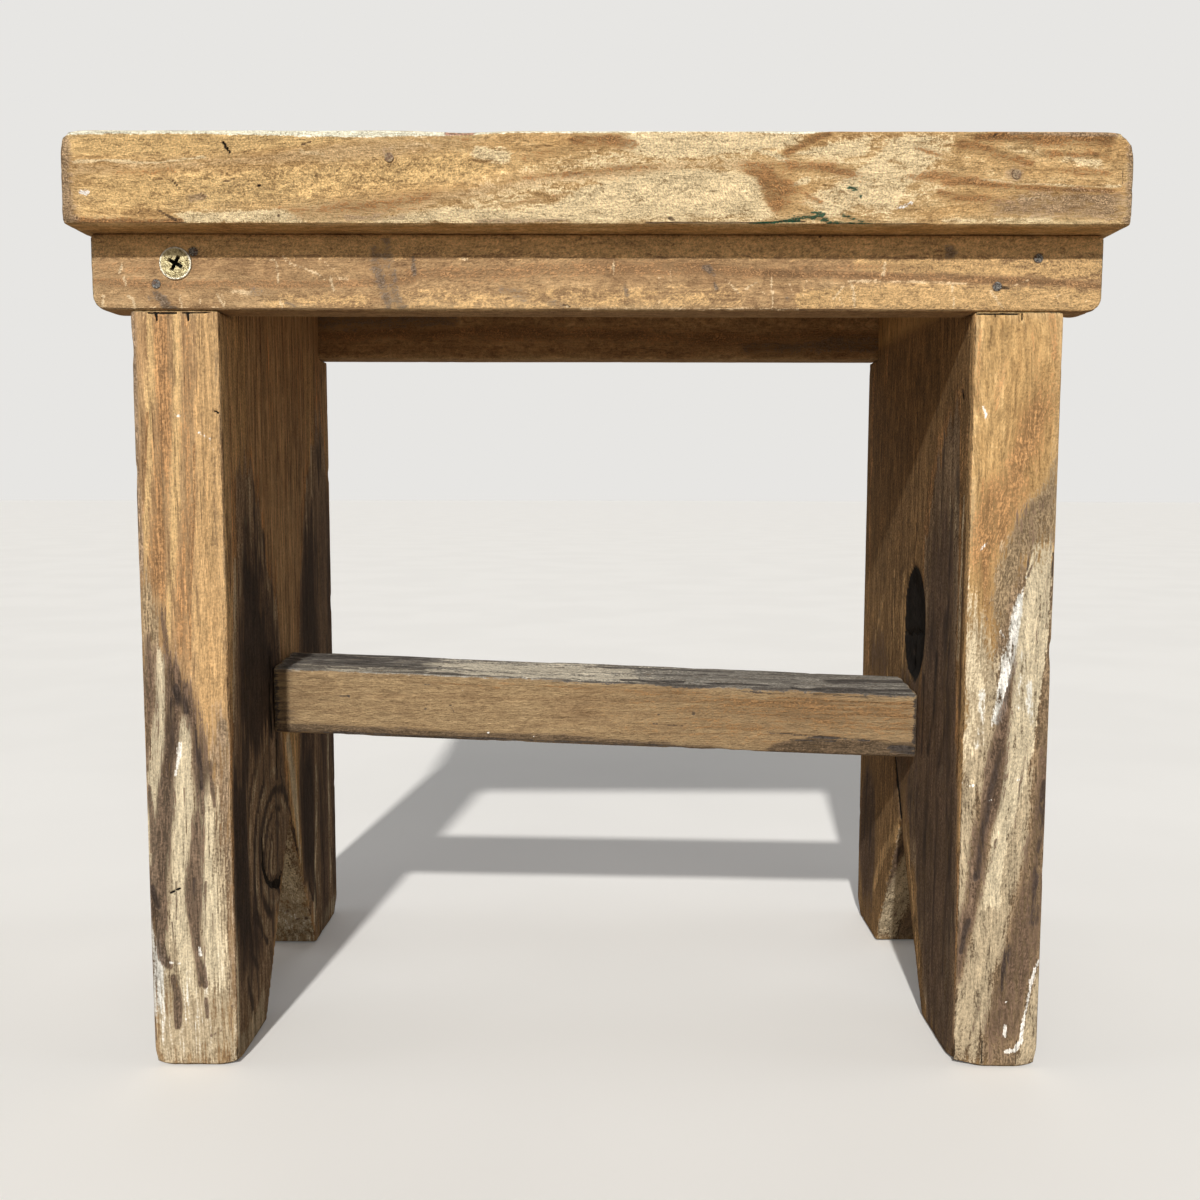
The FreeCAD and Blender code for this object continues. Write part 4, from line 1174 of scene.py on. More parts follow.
def right_leg_front(board):
    """A brown curve near the top, with damp stains and bleached strips further down."""
    board.band("brown", "-y", [
        (142, 118.4, 120.4), (152, 116, 121), (162, 114, 122.4), (170, 113, 127), (178, 116, 130),
        (186, 121, 131.6), (195, 125, 134), (205, 128, 137.4), (216, 132, 139.6),
    ], strength=0.9, soft=3.8, wobble=1.2)
    board.paint("brown", "-y", [
        ((135.4, 236, 1.6), (137, 222, 1.6), 0.6), ((122, 222, 1.6), (120, 206, 1.6), 0.5),
        ((114.4, 230, 0.9), (114.6, 206, 1.0), 0.6), ((130, 232, 0.6), (132, 216, 0.8), 0.5),
        ((126.6, 196, 0.5), (124.6, 184, 0.6), 0.9), ((130.6, 198, 0.5), (128, 182, 0.5), 0.8),
        ((117, 186, 0.5), (117.2, 168, 0.6), 0.7),
    ], wobble=0.5)
    board.paint("cream", "-y", [
        ((115, 232, 1.0), (114.6, 222, 1.0), 0.9), ((126.8, 234, 0.5), (128.4, 229.6, 0.5), 1.0),
        ((114.2, 206, 0.9), (113.6, 198, 0.9), 0.8), ((129.8, 194, 0.5), (128.4, 186, 0.5), 0.9),
        ((132.4, 200, 0.5), (129.4, 188, 0.4), 0.7), ((119.4, 164, 0.6), (119, 170, 0.5), 0.8),
        ((120, 216, 2), (122, 208, 2), 0.5), ((118.6, 195.4, 0.4), (121, 195, 0.4), 0.7),
    ], wobble=0.4)
    board.band("grey", "-y", [
        (126, 121.6, 123.4), (134, 122, 125), (140, 121, 127.6), (148, 121, 129), (156, 122, 130.4),
        (162, 123.4, 131.4), (168, 125.4, 140), (174, 128, 140), (180, 131.4, 140), (190, 138.4, 140),
    ], soft=3.1, wobble=0.9)
    board.band("stain", "-y", [
        (155, 138.6, 140), (162, 138.2, 140), (166, 131, 140), (170, 129, 136), (177, 128.4, 131),
        (181, 136, 137.4),
    ], strength=0.4, soft=5.3, wobble=1.4)
    board.band("mauve", "-y", [
        (0, 110, 142), (60, 110, 142), (90, 112, 142), (112, 118, 142), (130, 122, 142), (150, 127, 142),
        (160, 130, 142),
    ], strength=1.5, soft=2)
    board.band("straw", "-y", [
        (50, 112, 114.8), (64, 112, 116.4), (80, 112, 118), (92, 112, 120), (104, 112, 122), (118, 112, 125),
        (128, 112, 123.4), (138, 113, 120), (148, 113, 116),
    ], soft=2.9, wobble=0.9)
    board.band("pale", "-y", [
        (96, 112, 114), (106, 112, 117), (122, 112.6, 120), (136, 113, 118), (150, 113, 114.6),
    ], strength=0.6, soft=3.8)
    board.band("straw", "-y", [
        (2, 112, 122), (10, 112, 122), (20, 112, 124.6), (30, 114.4, 125), (40, 116.6, 128), (50, 119, 129.4),
        (60, 120.6, 131.6), (72, 122.6, 133.6), (84, 125, 135), (96, 126.4, 135),
    ], soft=1.7, wobble=0.5)
    board.band("pale", "-y", [
        (52, 121, 126), (62, 122, 126), (74, 123.4, 128), (86, 125.6, 131), (98, 126.6, 134),
        (110, 127, 135.4), (122, 127.8, 137), (134, 128, 138.4), (144, 128.6, 138.8), (152, 130, 139),
        (159, 131.4, 139), (163, 132.2, 138.8), (166, 132.8, 138.4), (168, 133.6, 137.8),
    ], soft=0.9)
    board.band("straw", "-y", [
        (1, 133, 140), (12, 134.6, 140), (22, 136, 140), (30, 138, 140), (35, 139, 140),
    ], soft=1.4)
    board.band("stain", "-y", [
        (30, 112.6, 114.6), (38, 112.6, 116), (46, 113.8, 118), (56, 116.2, 120), (66, 117.4, 121),
        (76, 118, 122), (86, 119.6, 125), (94, 120.2, 126), (101, 121.4, 126.4), (108, 123.6, 126.6),
        (116, 125, 127.6), (124, 126.8, 127.8), (130, 127.6, 128.2),
    ], strength=0.95, soft=1.9)
    board.band("stain", "-y", [
        (6, 123, 129), (12, 123, 134), (18, 124, 134.8), (24, 125, 135.6), (30, 126.4, 136.8),
        (36, 127.6, 140), (44, 129, 140), (54, 131, 140), (64, 133, 140), (78, 134.8, 140), (92, 136.2, 140),
        (106, 137.2, 140), (122, 138.2, 140),
    ], strength=0.5, soft=2.2)
    board.paint("stain", "-y", [
        ((134.2, 163, 0.8), (133, 160, 0.5), (131.4, 156, 0.5), 0.6),
        ((133, 104, 0.5), (131, 86, 0.5), (128.6, 66, 0.5), 0.4), ((124.4, 74, 0.6), (122.6, 64, 0.6), 0.5),
        ((120, 148, 0.6), (118.4, 138, 0.5), 0.4), ((135.6, 148, 0.4), (134.6, 126, 0.4), 0.4),
        ((121, 22, 0.8), (119, 12, 1.0), 0.5), ((137.4, 160, 0.4), (137.8, 140, 0.4), 0.4),
    ], wobble=0.4)
    board.paint("dark", "-y", [
        ((125, 102, 1.2), (122.6, 90, 1.6), (120, 76, 1.4), (119, 62, 1.4), 0.6),
        ((138.8, 92, 1.4), (137.8, 66, 1.8), (137, 48, 2.4), 0.45),
        ((129.4, 40, 1.4), (127.6, 26, 1.4), 0.55), ((116.4, 48, 1.4), (114.6, 38, 1.0), 0.7),
        ((139, 163, 0.8), (138.8, 156, 0.6), 0.8), ((131, 158, 0.5), (132, 163, 0.6), (134, 166.6, 0.5), 0.5),
    ], wobble=0.5)
    board.paint("grey", "-y", [
        ((115, 6, 4), (125, 5, 4), (134, 3, 3), 0.8), ((122.6, 112, 1.2), (121.6, 98, 1.0), 0.7),
    ], wobble=1)
    board.paint("ash", "-y", [
        ((129.6, 150, 1.4), (127.6, 138, 2.8), (125.6, 126, 3.0), (123, 112, 2.4), 0.9),
        ((131, 132, 2), (130, 116, 2), 0.5), ((133, 122, 2.4), (134, 112, 2.4), 0.45),
        ((119, 120, 1.6), (118, 104, 1.6), 0.45),
    ], wobble=1.0)
    board.paint("white", "-y", [
        ((130.8, 156, 0.4), (129.8, 150, 0.5), 0.9), ((129, 147, 0.5), (128.4, 143, 0.8), 1.0),
        ((128, 140.6, 0.9), (127.2, 136, 1.2), (127, 132, 0.9), 1.0),
        ((126.4, 133, 0.7), (125.4, 128, 0.7), 0.6),
        ((126.4, 129, 1.2), (125.4, 123, 1.0), (124.4, 118, 0.6), 1.0),
        ((124.4, 126, 0.7), (123.4, 119, 0.8), 0.6), ((123, 116, 0.6), (122, 110, 0.7), 0.5),
        ((130.4, 128, 0.7), (130, 116, 0.8), 0.4), ((123, 140, 0.34), (126, 136, 0.42), 0.8),
        ((138.9, 35, 0.85), (137.4, 31, 0.85), (136.4, 25, 0.59), (134.8, 15, 0.59), (134.2, 9, 0.85),
         (132.6, 6, 1.1), (129.8, 5.6, 0.85), 1.0),
        ((129.2, 14, 0.59), (129.5, 10.6, 0.51), 0.9), ((129.4, 22, 0.34), 0.7),
        ((114.6, 208, 0.3), (116.4, 207, 0.35), (117.4, 204, 0.3), 0.5),
        ((116.6, 164, 0.3), (118.6, 166, 0.3), 0.5), ((122.4, 86.6, 0.51), 0.9),
        ((112.6, 92, 0.42), (116.6, 91, 0.51), 0.6), ((130.8, 93, 0.51), 0.6), ((123, 61, 0.42), 0.5),
    ], wobble=0.35)
    # A painted shadow line runs across the top, under the apron; the rest are cracks.
    board.paint("crack_and_shade", "-y", [
        ((113, 234.8, 0.5), (126, 234.8, 0.5), 0.7), ((127, 235, 0.4), (127, 233, 0.4), 0.7),
        ((119, 235, 0.4), (119.2, 233.6, 0.4), 0.7), ((122, 10, 0.5), (122.4, 1, 0.5), 0.5),
        ((133, 9, 0.5), (133, 1, 0.5), 0.5),
    ], wobble=0.15)


def right_leg_inner_side(board):
    """Umber wood darkened all over as painted shade, with damp from the foot and a dark, sunken knot."""
    whole_side(board, "rough", "-x")
    # Painted shade: this side is darkened all over, and more in a band down its middle.
    whole_side(board, "umber_shade", "-x", strength=0.74)
    board.band("umber_shade", "-x", [(70, -18, 33), (236, -22, 33)], strength=0.85, soft=2.4, wobble=2)
    board.band("tan", "-x", [(70, -70.5, -66), (150, -70.5, -67), (236, -70.5, -65)], strength=0.9, soft=0.8)
    board.band("tan", "-x", [
        (90, 12, 20), (112, 12, 34), (130, 11, 40), (146, 4, 26), (158, -8, 8),
    ], strength=0.15, soft=2.4, wobble=2)
    damp(board, "-x", [
        (0, -70, -42), (30, -70, -26), (60, -68, -8), (80, -67, -6), (100, -66, -18), (115, -62, -22),
        (130, -61, -22), (150, -61, -22), (165, -60, -22), (178, -60, -28), (186, -60, -34), (196, -58, -40),
        (206, -55, -46),
    ])
    board.band("grey", "-x", [
        (148, -60, -40), (165, -60, -32), (180, -59, -34), (192, -57, -40), (203, -54, -46),
    ], strength=0.45, soft=1.8, wobble=1.6, fringe=14)
    board.band("stain", "-x", [
        (0, -66, -44), (30, -66, -30), (60, -66, -14), (84, -66, -14), (100, -64, -22), (130, -58, -26),
        (160, -56, -30), (176, -52, -36),
    ], strength=0.66, soft=3, wobble=2, fringe=20)
    board.band("brown", "-x", [
        (80, -52, -22), (100, -52, -24), (125, -50, -26), (145, -46, -28),
    ], strength=0.7, soft=1.8, wobble=1.6)
    board.band("stain", "-x", [
        (84, -48, -18), (98, -50, -20), (112, -52, -24), (128, -52, -26), (142, -48, -30),
    ], strength=0.75, soft=2.4, wobble=2)
    board.band("stain", "-x", [
        (10, 44, 62), (30, 40, 68), (52, 40, 66), (66, 44, 60),
    ], strength=0.8, soft=2.1, wobble=2)
    board.patches("dark", "-x", "mauve", 0.5, 22, 4)
    board.patches("straw", "-x", "mauve", 0.4, 34, 2.4)
    board.band("stain", "-x", [(108, 30, 52), (116, 26, 56), (124, 34, 52)], strength=0.5, soft=1.8, wobble=2)
    # Painted shade round the stretcher's end: these two darker bands.
    board.band("stain", "-x", [
        (94, -24, 30), (100, -24, 30), (106, -24, 14),
    ], strength=0.7, soft=1.8, wobble=1.4)
    board.band("stain", "-x", [
        (62, -20, 4), (84, -34, 14), (104, -34, 16), (126, -30, -14),
    ], strength=0.5, soft=5, wobble=2, fringe=14)
    board.band("knot", "-x", [
        (115, -14, -7), (118.5, -18.4, -2), (123, -21.4, 1), (129, -23.4, 2.6), (135, -24, 3),
        (141, -23.4, 2.6), (147, -21.4, 1), (151.5, -18.4, -2), (155, -14, -7),
    ], soft=0.7, wobble=0.3)
    board.paint("brown", "-x", [
        ((-60, 214, 1.6), (-50, 205, 1.6), (-42, 206, 1.6), (-36, 195, 1.8), (-28, 187, 1.8), (-22, 174, 2),
         1.0),
        ((-66, 205, 1.6), (-65, 190, 1.4), 0.7), ((40, 235, 3), (42, 160, 3), 0.4),
        ((62, 230, 2.4), (62, 110, 2.4), 0.9),
    ], wobble=1.2)
    board.paint("tan", "-x", [
        ((-27, 150, 1.2), (-26, 122, 1.2), 0.9), ((5, 152, 1.6), (7, 136, 2), (5, 118, 1.6), 1.0),
        ((-52, 84, 1), (-55, 72, 1.2), (-56, 60, 1), 1.0), ((36, 140, 2), (46, 126, 2), (52, 112, 1.6), 0.8),
        ((2, 60, 3), (12, 50, 4), (26, 40, 4), (38, 26, 3.4), (46, 14, 2), 1.0),
        ((20, 152, 1.6), (18, 122, 1.6), 0.7), ((-6, 60, 2), (-16, 42, 2), (-28, 16, 2), 0.7),
    ], wobble=1)
    board.paint("straw", "-x", [
        ((-63, 48, 3), (-61, 30, 4), (-58, 12, 4), 0.7), ((-50, 92, 2), (-47, 88, 2), 0.9),
        ((-64, 180, 1.6), (-63, 130, 1.8), 0.6), ((-50, 180, 2.4), (-52, 160, 2), 0.5),
        ((-40, 170, 1.6), (-42, 150, 1.6), 0.5),
    ], wobble=1.4)
    board.paint("dark", "-x", [
        ((-26, 168, 1.6), (-25, 158, 2), (-28, 150, 2), 0.5),
        ((-54, 140, 1.4), (-52, 110, 2), (-46, 92, 2), 0.7),
        ((-40, 128, 2), (-38, 108, 2.6), (-32, 94, 2.4), 0.9),
        ((-60, 88, 1), (-58, 56, 1.4), (-56, 26, 1.2), 0.7),
        ((-46, 80, 1.2), (-44, 50, 1.4), (-44, 20, 1.2), 0.6),
        ((-34, 76, 1.4), (-32, 50, 1.4), (-36, 24, 1.2), 0.6), ((-20, 78, 1.2), (-18, 60, 1.4), 0.6),
        ((-66, 170, 1), (-66, 110, 1.2), 0.6), ((-25, 118, 2), (-24, 92, 2), 1.0), ((-60, 212, 1.6), 1.0),
        ((46, 60, 1.4), (50, 34, 2), 0.6), ((56, 64, 1.4), (60, 36, 1.6), 0.6),
        ((38, 152, 1.2), (42, 132, 1.2), 0.4),
    ], wobble=1.4)
    board.paint("crack_and_shade", "-x", [
        ((13, 84, 1.2), (8, 74, 1.8), (4, 67, 1.8), (1, 61, 1.4), 1.0),
        ((-24, 133, 0.9), (-10, 132, 1.0), (3, 130, 0.9), 1.0), ((-10, 132, 0.8), (-8, 116, 0.8), 0.8),
        ((-60, 211, 1.4), 0.9),
    ], wobble=0.6)


def hidden_leg_sides(board, outer_side):
    """The outer and back faces, which don't show in the photograph: damp has climbed from the feet."""
    whole_side(board, "rough", outer_side)
    board.band("tan", outer_side, [(60, -70, -62), (240, -66, -58)], strength=0.8, soft=2)
    board.band("tan", outer_side, [(110, 8, 18), (180, 6, 22), (240, 8, 24)], strength=0.7, soft=2)
    board.band("cream", outer_side, [(100, 54, 58), (170, 50, 57), (240, 52, 60)], strength=0.7, soft=2)
    board.band("brown", outer_side, [
        (150, -34, -24), (200, -36, -22), (258, -34, -24),
    ], strength=0.7, soft=3, wobble=2)
    damp(board, outer_side, [
        (-2, -71, -30), (40, -71, -22), (70, -70, -18), (100, -66, -24), (130, -61, -34), (160, -56, -42),
        (178, -52, -47),
    ])
    damp(board, outer_side, [
        (-2, 28, 71), (40, 20, 71), (66, 6, 70), (84, 2, 69), (104, 12, 68), (130, 24, 64), (150, 34, 58),
        (170, 43, 50),
    ])
    board.patches("dark", outer_side, "mauve", 0.4, 26, 4)
    board.patches("straw", outer_side, "mauve", 0.4, 34, 2.4)
    board.band("stain", outer_side, [
        (6, -66, -46), (50, -63, -40), (90, -58, -40), (118, -55, -43), (142, -51, -47),
    ], soft=2.2, wobble=2)
    board.band("stain", outer_side, [
        (4, 42, 62), (40, 40, 60), (80, 34, 54), (108, 38, 51), (128, 44, 48),
    ], soft=2.2, wobble=2)
    board.band("stain", outer_side, [
        (62, -12, 0), (74, -15, -2), (90, -15, -6), (104, -13, -10),
    ], soft=1.6, wobble=1.4)
    board.band("dark", outer_side, [
        (-2, -60, -50), (26, -60, -50), (56, -57, -51),
    ], strength=0.8, soft=2, wobble=1.6)
    board.band("dark", outer_side, [
        (-2, 48, 58), (34, 46, 56), (66, 42, 48),
    ], strength=0.8, soft=2, wobble=1.6)
    board.band("straw", outer_side, [
        (8, -40, -33), (50, -38, -30), (84, -36, -30), (108, -42, -38),
    ], soft=1.6, wobble=1.2)
    board.band("straw", outer_side, [
        (2, 64, 69), (50, 62, 68), (96, 58, 64), (122, 59, 61),
    ], soft=1.4, wobble=1.2)
    board.band("stain", outer_side, [
        (146, 23, 29), (153, 20.5, 31.5), (160, 20.5, 31.5), (167, 23, 29),
    ], soft=1, wobble=0.6)
    board.paint("brown", outer_side, [
        (*arc((26, 157), (9, 15), 0, 360, 1.4), 0.8), (*arc((26, 157), (13, 24), 0, 360, 1.4), 0.7),
        (*arc((26, 157), (18, 38), 20, 160, 1.4), 0.6), (*arc((26, 157), (18, 38), 200, 340, 1.4), 0.6),
    ], wobble=1)
    middle = (LEG["outer"] + LEG["inner"]) / 2 * (1 if outer_side == "+x" else -1)
    board.band("mauve", "+y", [
        (-2, middle - 14, middle + 14), (50, middle - 14, middle + 14), (90, middle - 14, middle + 6),
        (130, middle - 14, middle - 3), (165, middle - 14, middle - 10),
    ], soft=1.6, wobble=1)
    board.band("straw", "+y", [
        (2, middle - 4, middle + 6), (60, middle - 2, middle + 5), (104, middle, middle + 3),
    ], soft=1.4)
    board.band("stain", "+y", [
        (4, middle - 10, middle - 6), (50, middle - 10, middle - 5), (96, middle - 9, middle - 6),
    ], soft=1.4)
    board.band("stain", "+y", [(4, middle + 8, middle + 12), (60, middle + 8, middle + 13)], soft=1.4)


def apron(front):
    """One apron. Only the front one shows its face; the back one is its plainer twin."""
    x, low, high = APRON["x"], APRON["low"], APRON["high"]
    outer, inner = LEG["y"], LEG["neck"]
    span = (-outer, -inner) if front else (inner, outer)
    outline = [(-x, low + 2.5), (-x + 1, low + 0.8), (-x + 4, low), (x - 4, low), (x - 1, low + 0.8),
               (x, low + 2.5), (x, high), (-x, high)]
    name = "front_apron" if front else "back_apron"
    fine = (lambda middle, normal: normal.y < -0.5) if front else None
    seed = 37 if front else 41
    board = Board(name + "_worn", prism(outline, 1, *span, 0.6), 1.0, grain=0, seed=seed, fine=fine)
    board.wear(waves=0.1, ridges=0.05, lumps=0.04, rounding=0.9, chips=0.4)
    if front:
        front_apron_marks(board)
    else:
        back_apron_marks(board)
    material = weathered_wood(name + "_wood", 0, APRON_LOOK)
    board.build("apron_wood", name).data.materials.append(material)


def front_apron_marks(board):
    """A seat for the screw's head, dark nail holes, brown grain, stains and plain crossing scratches."""
    from_screw = np.hypot(board.points[:, 0] - SCREW_HEAD[0], board.points[:, 2] - SCREW_HEAD[2])
    in_front = board.points[:, 1] < SCREW_HEAD[1] + 2
    board.sunk += 3.2 * in_front * ramp(from_screw, SCREW_HEAD_RADIUS - 0.1, SCREW_HEAD_RADIUS - 0.9)
    board.dent((-131.4, -70.5, 243), 2.6, 0.25)
    board.dent((131.3, -70.5, 250.9), 2.6, 0.25)
    board.dent((119.3, -70.5, 242.7), 3.0, 0.25)
    # Partly cleaner wood under the seat, and partly painted light that lifts the seat's shadow on this band.
    board.band("gold", "-y", [(-152, 251, 259), (152, 251, 259)], strength=0.9, soft=1.6)
    board.paint("gold", "-y", [
        ((-60, 238, 5), (0, 239, 5), (40, 239, 5), 0.5),
        ((62, 239, 4), (90, 239, 6), (120, 239, 6), (150, 238, 6), 1.0),
        ((78, 249, 3), (110, 248.5, 4), (150, 248, 5), 0.8), ((-98, 238, 3), (-70, 238, 3.5), 0.5),
    ], wobble=1.4)
    board.paint("brown", "-y", [
        ((-150, 243.5, 2.2), (-120, 243, 2.2), (-95, 243, 2.0), (-75, 243.4, 2.2), (-55, 244, 2), 0.8),
        ((-150, 247.5, 2), (-120, 247.5, 2.5), 0.4),
        ((-56, 246, 2.4), (-30, 246.5, 3), (0, 247.4, 3.4), (30, 247.5, 3.2), (50, 246.4, 2.4), 0.75),
        ((50, 246.6, 2.2), (74, 245.8, 2.2), (96, 245.4, 2.2), (118, 244.8, 1.8), (150, 242.6, 1.6), 0.95),
        ((60, 248.6, 1.4), (100, 248, 1.2), 0.6), ((125, 243.9, 0.8), (150, 242.4, 0.8), 0.9),
        ((-40, 243.8, 0.7), (-10, 244.4, 0.7), 0.5),
    ], wobble=1.0)
    board.paint("stain", "-y", [
        ((-65.6, 252.6, 2.4), (-65.2, 247, 2.6), (-63.4, 241, 2.6), (-62.4, 237, 2), 0.62),
        ((-61, 246, 2), (-60.4, 240, 2.2), (-58.6, 236.6, 2.4), 0.6),
        ((-62.6, 255, 2.2), (-62.4, 249, 2.6), 0.5), ((-54.6, 251, 0.9), (-54.4, 246, 0.8), 0.9),
        ((-131.6, 240, 1.8), (-128.6, 237.6, 1.8), 0.85), ((-129.4, 236.6, 1.6), (-126, 235.8, 1.2), 0.85),
        ((-133.6, 239, 0.9), 0.6), ((32.6, 248, 1.5), (34.6, 246, 1.4), 0.7),
        ((35.2, 243.6, 0.7), (35.8, 242, 0.8), 0.95), ((-28, 241.4, 2), (-22, 239.6, 2.6), 0.5),
        ((-14, 238, 1.4), (-10, 237, 1.2), 0.5), ((8.4, 244, 0.7), (9.2, 240, 0.8), 0.6),
        ((-103, 241, 2), (-96, 240, 1.2), 0.3), ((57, 239, 1.2), 0.5),
        ((-92.6, 237.6, 0.7), (-90, 236.4, 0.9), 0.6), ((105, 252.8, 2.6), 0.9),
    ], wobble=0.7)
    board.paint("dark", "-y", [
        ((-131.4, 243, 2.1), 0.75), ((-120, 252.4, 2.4), 0.7), ((131.3, 250.9, 2.2), 0.75),
        ((119.3, 242.7, 2.2), 0.7), ((119.3, 242.7, 1.0), (122.6, 242.2, 0.6), 0.8),
        # The wide dark spot round the screw's head is painted shade.
        ((-125.4, 249, 6.2), 0.45), ((66.6, 258, 0.5), (66.4, 257, 0.5), 0.9),
        ((-150, 235.6, 0.7), (-112, 235.4, 0.6), 0.5), ((-106, 235.5, 0.7), (-20, 235.4, 0.7), 0.55),
        ((-20, 235.6, 0.6), (110, 235.6, 0.6), 0.5), ((-10, 237.2, 0.5), (-8, 236.6, 0.5), 0.7),
        ((-127.6, 256.6, 0.5), 0.8),
    ], wobble=0.35)
    board.paint("scratch", "-y", [
        ((-141.4, 248.6, 0.5), (-142.2, 246.2, 0.6), 1.0), ((-140.9, 245, 0.4), (-140.2, 242.4, 0.4), 0.9),
        ((-148, 236.4, 0.7), (-147.2, 239.6, 0.6), 0.7),
        ((-140, 239.4, 0.6), (-138.6, 238.6, 0.5), (-138, 236, 0.6), 0.9),
        ((-124.6, 239.2, 0.5), (-124, 236, 0.5), 0.7), ((-118.5, 239, 0.35), (-118.2, 235.6, 0.35), 0.5),
        ((-113.4, 240.2, 0.5), (-111.2, 236, 0.5), 0.95), ((-112, 240.2, 0.35), (-110.8, 237.4, 0.35), 0.7),
        ((-96.8, 250.4, 0.35), (-95.4, 249.4, 0.4), (-95, 243.4, 0.5), 0.9),
        ((-97.6, 249.6, 0.3), (-96, 250.6, 0.3), 0.6), ((-94.6, 238.8, 0.4), (-94, 236.2, 0.4), 0.7),
        ((-93.6, 251.2, 0.3), (-91, 248.8, 0.3), 0.8),
        ((-91.6, 249, 0.3), (-87, 247.6, 0.35), (-83.4, 246, 0.35), (-81, 244.4, 0.3), 0.9),
        ((-79.4, 245.4, 0.6), (-78.6, 241.4, 0.7), 0.9), ((-77.6, 245, 0.9), (-74.4, 244.6, 0.7), 0.5),
        ((-104, 240.6, 0.9), (-112, 241, 0.7), 0.5), ((-82.6, 250.6, 0.25), (-78.4, 247.4, 0.25), 0.6),
        ((5, 250.4, 0.45), (4.8, 246, 0.45), 0.7), ((-14.6, 250.6, 0.5), 0.7),
        ((-39.8, 250.6, 0.8), (-38.4, 250, 0.6), 0.7), ((38.4, 245, 0.4), (42.2, 240.4, 0.4), 0.75),
        ((47.6, 243.6, 0.4), (44.4, 241.8, 0.4), 0.7), ((48, 242, 0.3), (50.6, 240, 0.3), 0.5),
        ((52, 245, 0.45), (52.6, 236.4, 0.4), 0.75), ((57.4, 243.6, 0.3), (58.6, 240, 0.3), 0.5),
        ((62.4, 244.2, 0.3), (61.6, 240, 0.3), 0.4), ((73.4, 242.6, 0.5), (70.6, 239, 0.45), 0.8),
        ((75.6, 244, 0.4), (76.6, 241, 0.5), (76.9, 236.6, 0.5), 0.9),
        ((72.2, 239.4, 0.35), (73.6, 236.6, 0.35), 0.6),
        ((75, 244.2, 0.6), (100, 244, 0.7), (110, 243.4, 0.4), 0.5),
        ((106, 243.2, 0.35), (106.5, 236.4, 0.35), 0.8),
        ((117.4, 241.6, 0.35), (119.6, 238.4, 0.4), (121.6, 236, 0.3), 0.9),
        ((128.4, 244.4, 0.4), (124.4, 243.2, 0.4), 0.6), ((137.6, 239.8, 1.0), 0.6),
        ((138.6, 251.2, 0.4), 0.6), ((-8.6, 236.6, 0.8), 0.6), ((18.6, 245, 0.5), (18.8, 237, 0.5), 0.4),
        ((85.6, 249.6, 0.6), (85.2, 246, 0.6), 0.6), ((-150, 236.2, 0.5), (-110, 236, 0.4), 0.3),
        ((-5, 235.9, 0.5), (60, 236, 0.5), 0.5), ((96, 238.4, 0.7), 0.5),
        ((22, 248, 0.3), (22.2, 244, 0.3), 0.4), ((146, 238.4, 0.5), 0.6),
    ], wobble=0.25)
    for end_side, end_x in (("-x", -151), ("+x", 151)):
        board.paint("dark", end_side, [((-64, 236, 3), (-60, 256, 2), 0.5)], wobble=1)
        board.dent((end_x, -70.5, 235.2), 5, 1.0)


def back_apron_marks(board):
    """Brown grain, stains, nail holes and a few scratches."""
    board.paint("brown", "-y", [
        ((-140, 244, 3), (-20, 246, 4), (60, 243, 4), (140, 246, 3), 0.8),
    ], wobble=1.4)
    board.paint("stain", "-y", [
        ((-112, 250, 5), (-60, 251, 4), 0.6), ((60, 240, 3), (112, 242, 5), 0.6),
    ], wobble=1.4)
    board.paint("brown", "+y", [
        ((-150, 248, 3), (-40, 246, 4), (50, 247, 3), (150, 243, 4), 0.8),
    ], wobble=1.2)
    board.paint("gold", "+y", [((-120, 239, 3), (0, 240, 4), (130, 239, 4), 0.6)], wobble=1.2)
    board.paint("stain", "+y", [
        ((-70, 240, 5), (-40, 241, 6), 0.7), ((84, 252, 4), (120, 251, 3), 0.6),
    ], wobble=2)
    board.paint("dark", "+y", [
        ((-131.4, 243, 2.2), 0.7), ((-120, 252.4, 2.2), 0.7), ((131.3, 250.9, 2.2), 0.7),
        ((119.3, 242.7, 2.2), 0.7), ((20, 250, 0.6), (34, 249, 0.4), 0.8),
    ], wobble=0.4)
    board.paint("scratch", "+y", [
        ((-20, 250, 0.7), (-8, 241, 0.7), 0.8), ((44, 246, 0.6), (60, 243, 0.6), 0.7),
        ((98, 247, 0.6), (101, 238, 0.6), 0.7),
    ], wobble=0.5)


def stretcher():
    """The stretcher, out of level and out of square. Its top has weathered grey and lost splinters."""
    half_x, half_y, half_z = STRETCHER["x"], STRETCHER["deep"] / 2, STRETCHER["high"] / 2
    slope, skew = np.tan(radians(STRETCHER["slope"])), np.tan(radians(STRETCHER["skew"]))
    outline = [(-half_y, -half_z - 0.5), (half_y, -half_z - 0.5), (half_y, half_z + 3),
               (-half_y, half_z + 0.6)]
    board = Board("stretcher_worn", prism(outline, 0, -half_x, half_x, 0.7), 0.85, grain=0, seed=53,
                  fine=lambda middle, normal: normal.y < -0.5 or (normal.z > 0.5 and middle.y < 0))
    board.wear(waves=0.12, ridges=0.06, lumps=0.04, rounding=0.8, chips=0.4)
    top = board.facing("+z")
    torn = ramp(board.noise(22, 5, seed=7), -0.15, 0.45)
    lip = ramp(board.points[:, 1], -half_y + 7, -half_y + 1) * ramp(board.points[:, 2], half_z - 2, half_z)
    board.sunk += top * (0.5 * torn + 0.4 * (1 + board.noise(24, 1.5, seed=9)))
    board.sunk += lip * 1.2 * ramp(board.noise(26, 20, seed=10), 0.1, 0.4)
    stretcher_front(board)
    stretcher_top_and_rest(board)

    along = board.points[:, 0].copy()
    board.points[:, 1] += STRETCHER["y"] + skew * along
    board.points[:, 2] += STRETCHER["z"] - slope * along
    board.build("stretcher_wood", "stretcher").data.materials.append(
        weathered_wood("stretcher_wood", 0, STRETCHER_LOOK))


